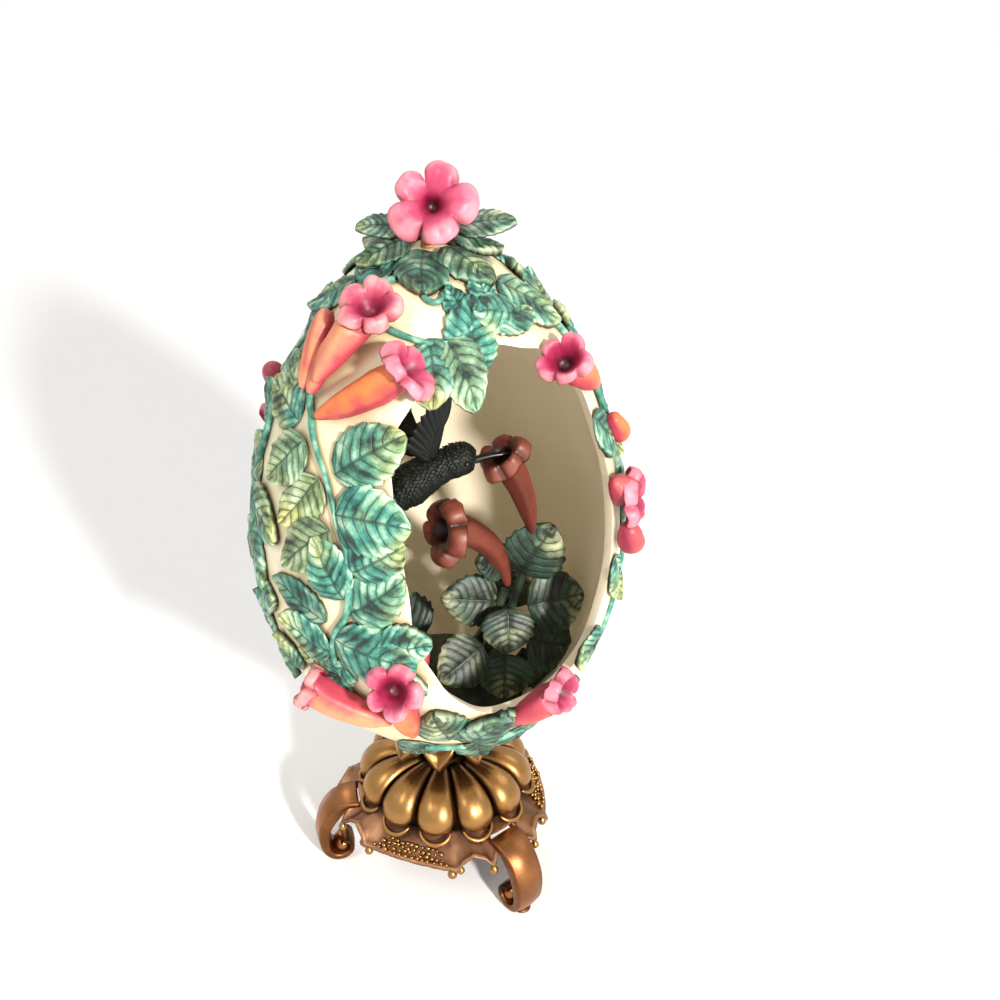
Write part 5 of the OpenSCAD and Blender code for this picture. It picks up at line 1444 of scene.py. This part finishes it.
body()
shoulder = garden_point((-3.6, -1.9, 9.8))
wings = [wing("Wing_near", shoulder + [1, -1.6, 0.9], (0.22, -0.25, 1), (-1, 0.35, -0.1)),
         wing("Wing_far", shoulder + [1.2, 1.8, 0.6], (0.1, 0.75, 0.8), (-1, 0.3, -0.3))]
belongs(joined("Bird_wings", wings), "bird_paint", "bird_wings")
way = unit(np.array([-0.62, 0.3, -0.76]))
side = unit(np.cross(way, (0.4, 0.9, 0)))
flat = np.cross(way, side)
root = garden_point(tail_root) - way * 0.6
blades = [feather_blade(root + side * 0.45 * k, unit(way + side * 0.13 * k), -flat, 9.4 - 0.25 * k * k, 1.8,
                        0.1 * (3 - abs(k))) for k in (-3, 3, -2, 2, -1, 1, 0)]
belongs(joined("Bird_tail", blades), "bird_paint", "bird_tail")
beak_root = garden_point(head + [2.2, -1.1, -0.2])
beak_way = unit(garden_point((8.4, -7.4, 10.4)) - beak_root)
s = np.linspace(0, 1, 9)
beak_line = beak_root + beak_way * (0.1 + beak_length * s)[:, None]
beak_line = beak_line + np.array([0, 0, 0.25]) * np.sin(np.pi * s)[:, None]
beak = stems("Bird_beak", [(beak_line, np.linspace(0.7, 0.3, 9))], horn, 14, 0.0)
belongs(beak, "bird_paint", "bird_beak")
across = unit(np.cross(beak_way, (0, 0, 1)))
eyes = [ball(garden_point(head) + [0.8, -0.4, 0.5] + across * hand * head_half * 0.96, eye_d / 2, horn)
        for hand in (-1, 1)]
belongs(joined("Bird_eyes", eyes), "bird_paint", "bird_eyes")


# Stage: a white paper floor, a small studio key from the front that throws the egg's own shadow
# inside it, three weak fills and a pale sky. None of it belongs to the egg.
def way_to(azimuth, elevation):
    """The direction of a lamp or camera, in degrees from the front and above the floor."""
    a, e = math.radians(azimuth), math.radians(elevation)
    return Vector((math.sin(a) * math.cos(e), -math.cos(a) * math.cos(e), math.sin(e)))


def area_light(name, azimuth, elevation, distance, size, watts, tint):
    """A round soft lamp that faces the egg's middle."""
    way = way_to(azimuth, elevation)
    light = bpy.data.lights.new(name, "AREA")
    light.shape = "DISK"
    light.size = size
    light.energy = watts
    light.color = colour(tint)[:3]
    lamp = bpy.data.objects.new(name, light)
    lamp.location = Vector((0, 0, lit_height)) + way * distance
    lamp.rotation_euler = way.to_track_quat("Z", "Y").to_euler()
    bpy.context.scene.collection.objects.link(lamp)


def floor():
    """A wide round sheet that everything stands on. Past its edge the white sky is seen."""
    a = np.linspace(0, 2 * np.pi, floor_sides, endpoint=False)
    rings = [np.stack([r * np.cos(a), r * np.sin(a), 0 * a], -1) for r in floor_rings]
    faces = [[0, 1 + k, 1 + (k + 1) % floor_sides] for k in range(floor_sides)]
    faces += [[1 + f[0], 1 + f[3], 1 + f[2], 1 + f[1]]
              for f in grid_faces(len(rings), floor_sides, False, True)]
    return mesh_piece("Floor", np.concatenate([[[0, 0, 0]]] + rings), faces, floor_paint())


def floor_paint():
    """Matt white paper, which keeps the shadow near the egg and is blank white further off."""
    sockets = {"Roughness": 0.9, "Base Color": colour("#fcfbfa")}
    material, tree, shader = new_finish("matt white paper", sockets)
    place = add_node(tree, "TexCoord")
    reach = add_node(tree, "VectorMath", {0: (place, "Object")}, operation="LENGTH")
    far_off = add_node(tree, "MapRange", {"Value": (reach, "Value"), "From Min": shadow_reach * MM,
                                          "From Max": 2 * shadow_reach * MM})
    blank = add_node(tree, "Math", {0: far_off, 1: seen_straight(tree)}, operation="MULTIPLY")
    white = add_node(tree, "Emission", {"Strength": 1.0})
    both = add_node(tree, "MixShader", {0: blank, 1: shader, 2: white})
    tree.links.new(output(both), tree.nodes["Material Output"].inputs["Surface"])
    return material


def seen_straight(tree):
    """Is 1 where the camera, a mirror or clear glass sees the backdrop, and 0 where it only lights."""
    ray = add_node(tree, "LightPath")
    through = add_node(tree, "Math", {0: (ray, "Is Camera Ray"), 1: (ray, "Is Transmission Ray")},
                       operation="MAXIMUM")
    return add_node(tree, "Math", {0: through, 1: (ray, "Is Glossy Ray")}, operation="MAXIMUM")


lit_height = 0.075
floor_sides = 72
floor_rings = (20, 100, 250, 600, 900)
shadow_reach = 300
floor()
area_light("Key", -1, 23, 1.1, 0.1, 19, "#fffaf4")
area_light("Left fill", -75, 52, 1.2, 0.55, 4, "#fffdf8")
area_light("Right fill", 80, 45, 1.3, 0.6, 2, "#ffffff")
area_light("Back light", 170, 50, 1.3, 0.6, 3, "#ffffff")

world = bpy.data.worlds.new("Studio")
bpy.context.scene.world = world
world.use_nodes = True
sky = world.node_tree
sky.nodes.clear()
place = add_node(sky, "TexCoord")
split = add_node(sky, "SeparateXYZ", {"Vector": (place, "Generated")})
high = add_node(sky, "MapRange", {"Value": (split, "Z"), "From Min": 0.0, "From Max": 0.6,
                                  "To Min": 0.6, "To Max": 0.42})
strength = add_node(sky, "Mix", {"Factor": seen_straight(sky), "A": high, "B": 1.0}, data_type="FLOAT")
light = add_node(sky, "Background", {"Color": (1, 1, 1, 1), "Strength": strength})
add_node(sky, "OutputWorld", {"Surface": light})
bpy.context.scene.view_settings.view_transform = "Standard"


# Camera: the photograph's view, from the front left and above, turned a little about its own axis.
# Lens, place and shift were fitted to the outline of the egg and its stand.
camera_azimuth = -28.0
camera_elevation = 31.55
camera_roll = -1.714
camera_distance = 0.220
aimed_height = 0.07693
back = way_to(camera_azimuth, camera_elevation)
right = way_to(camera_azimuth + 90, 0)
up = back.cross(right)
tilt = Matrix.Rotation(math.radians(camera_roll), 3, back)
right, up = tilt @ right, tilt @ up
lens = bpy.data.cameras.new("Camera")
lens.lens = 46.035
lens.sensor_width = 36
lens.shift_x = 0.0625
lens.shift_y = 0.0159
lens.clip_start = 0.01
lens.clip_end = 20
camera = bpy.data.objects.new("Camera", lens)
bpy.context.scene.collection.objects.link(camera)
spot = Vector((0, 0, aimed_height)) + back * camera_distance
camera.matrix_world = Matrix.Translation(spot) @ Matrix((right, up, back)).transposed().to_4x4()
bpy.context.scene.camera = camera
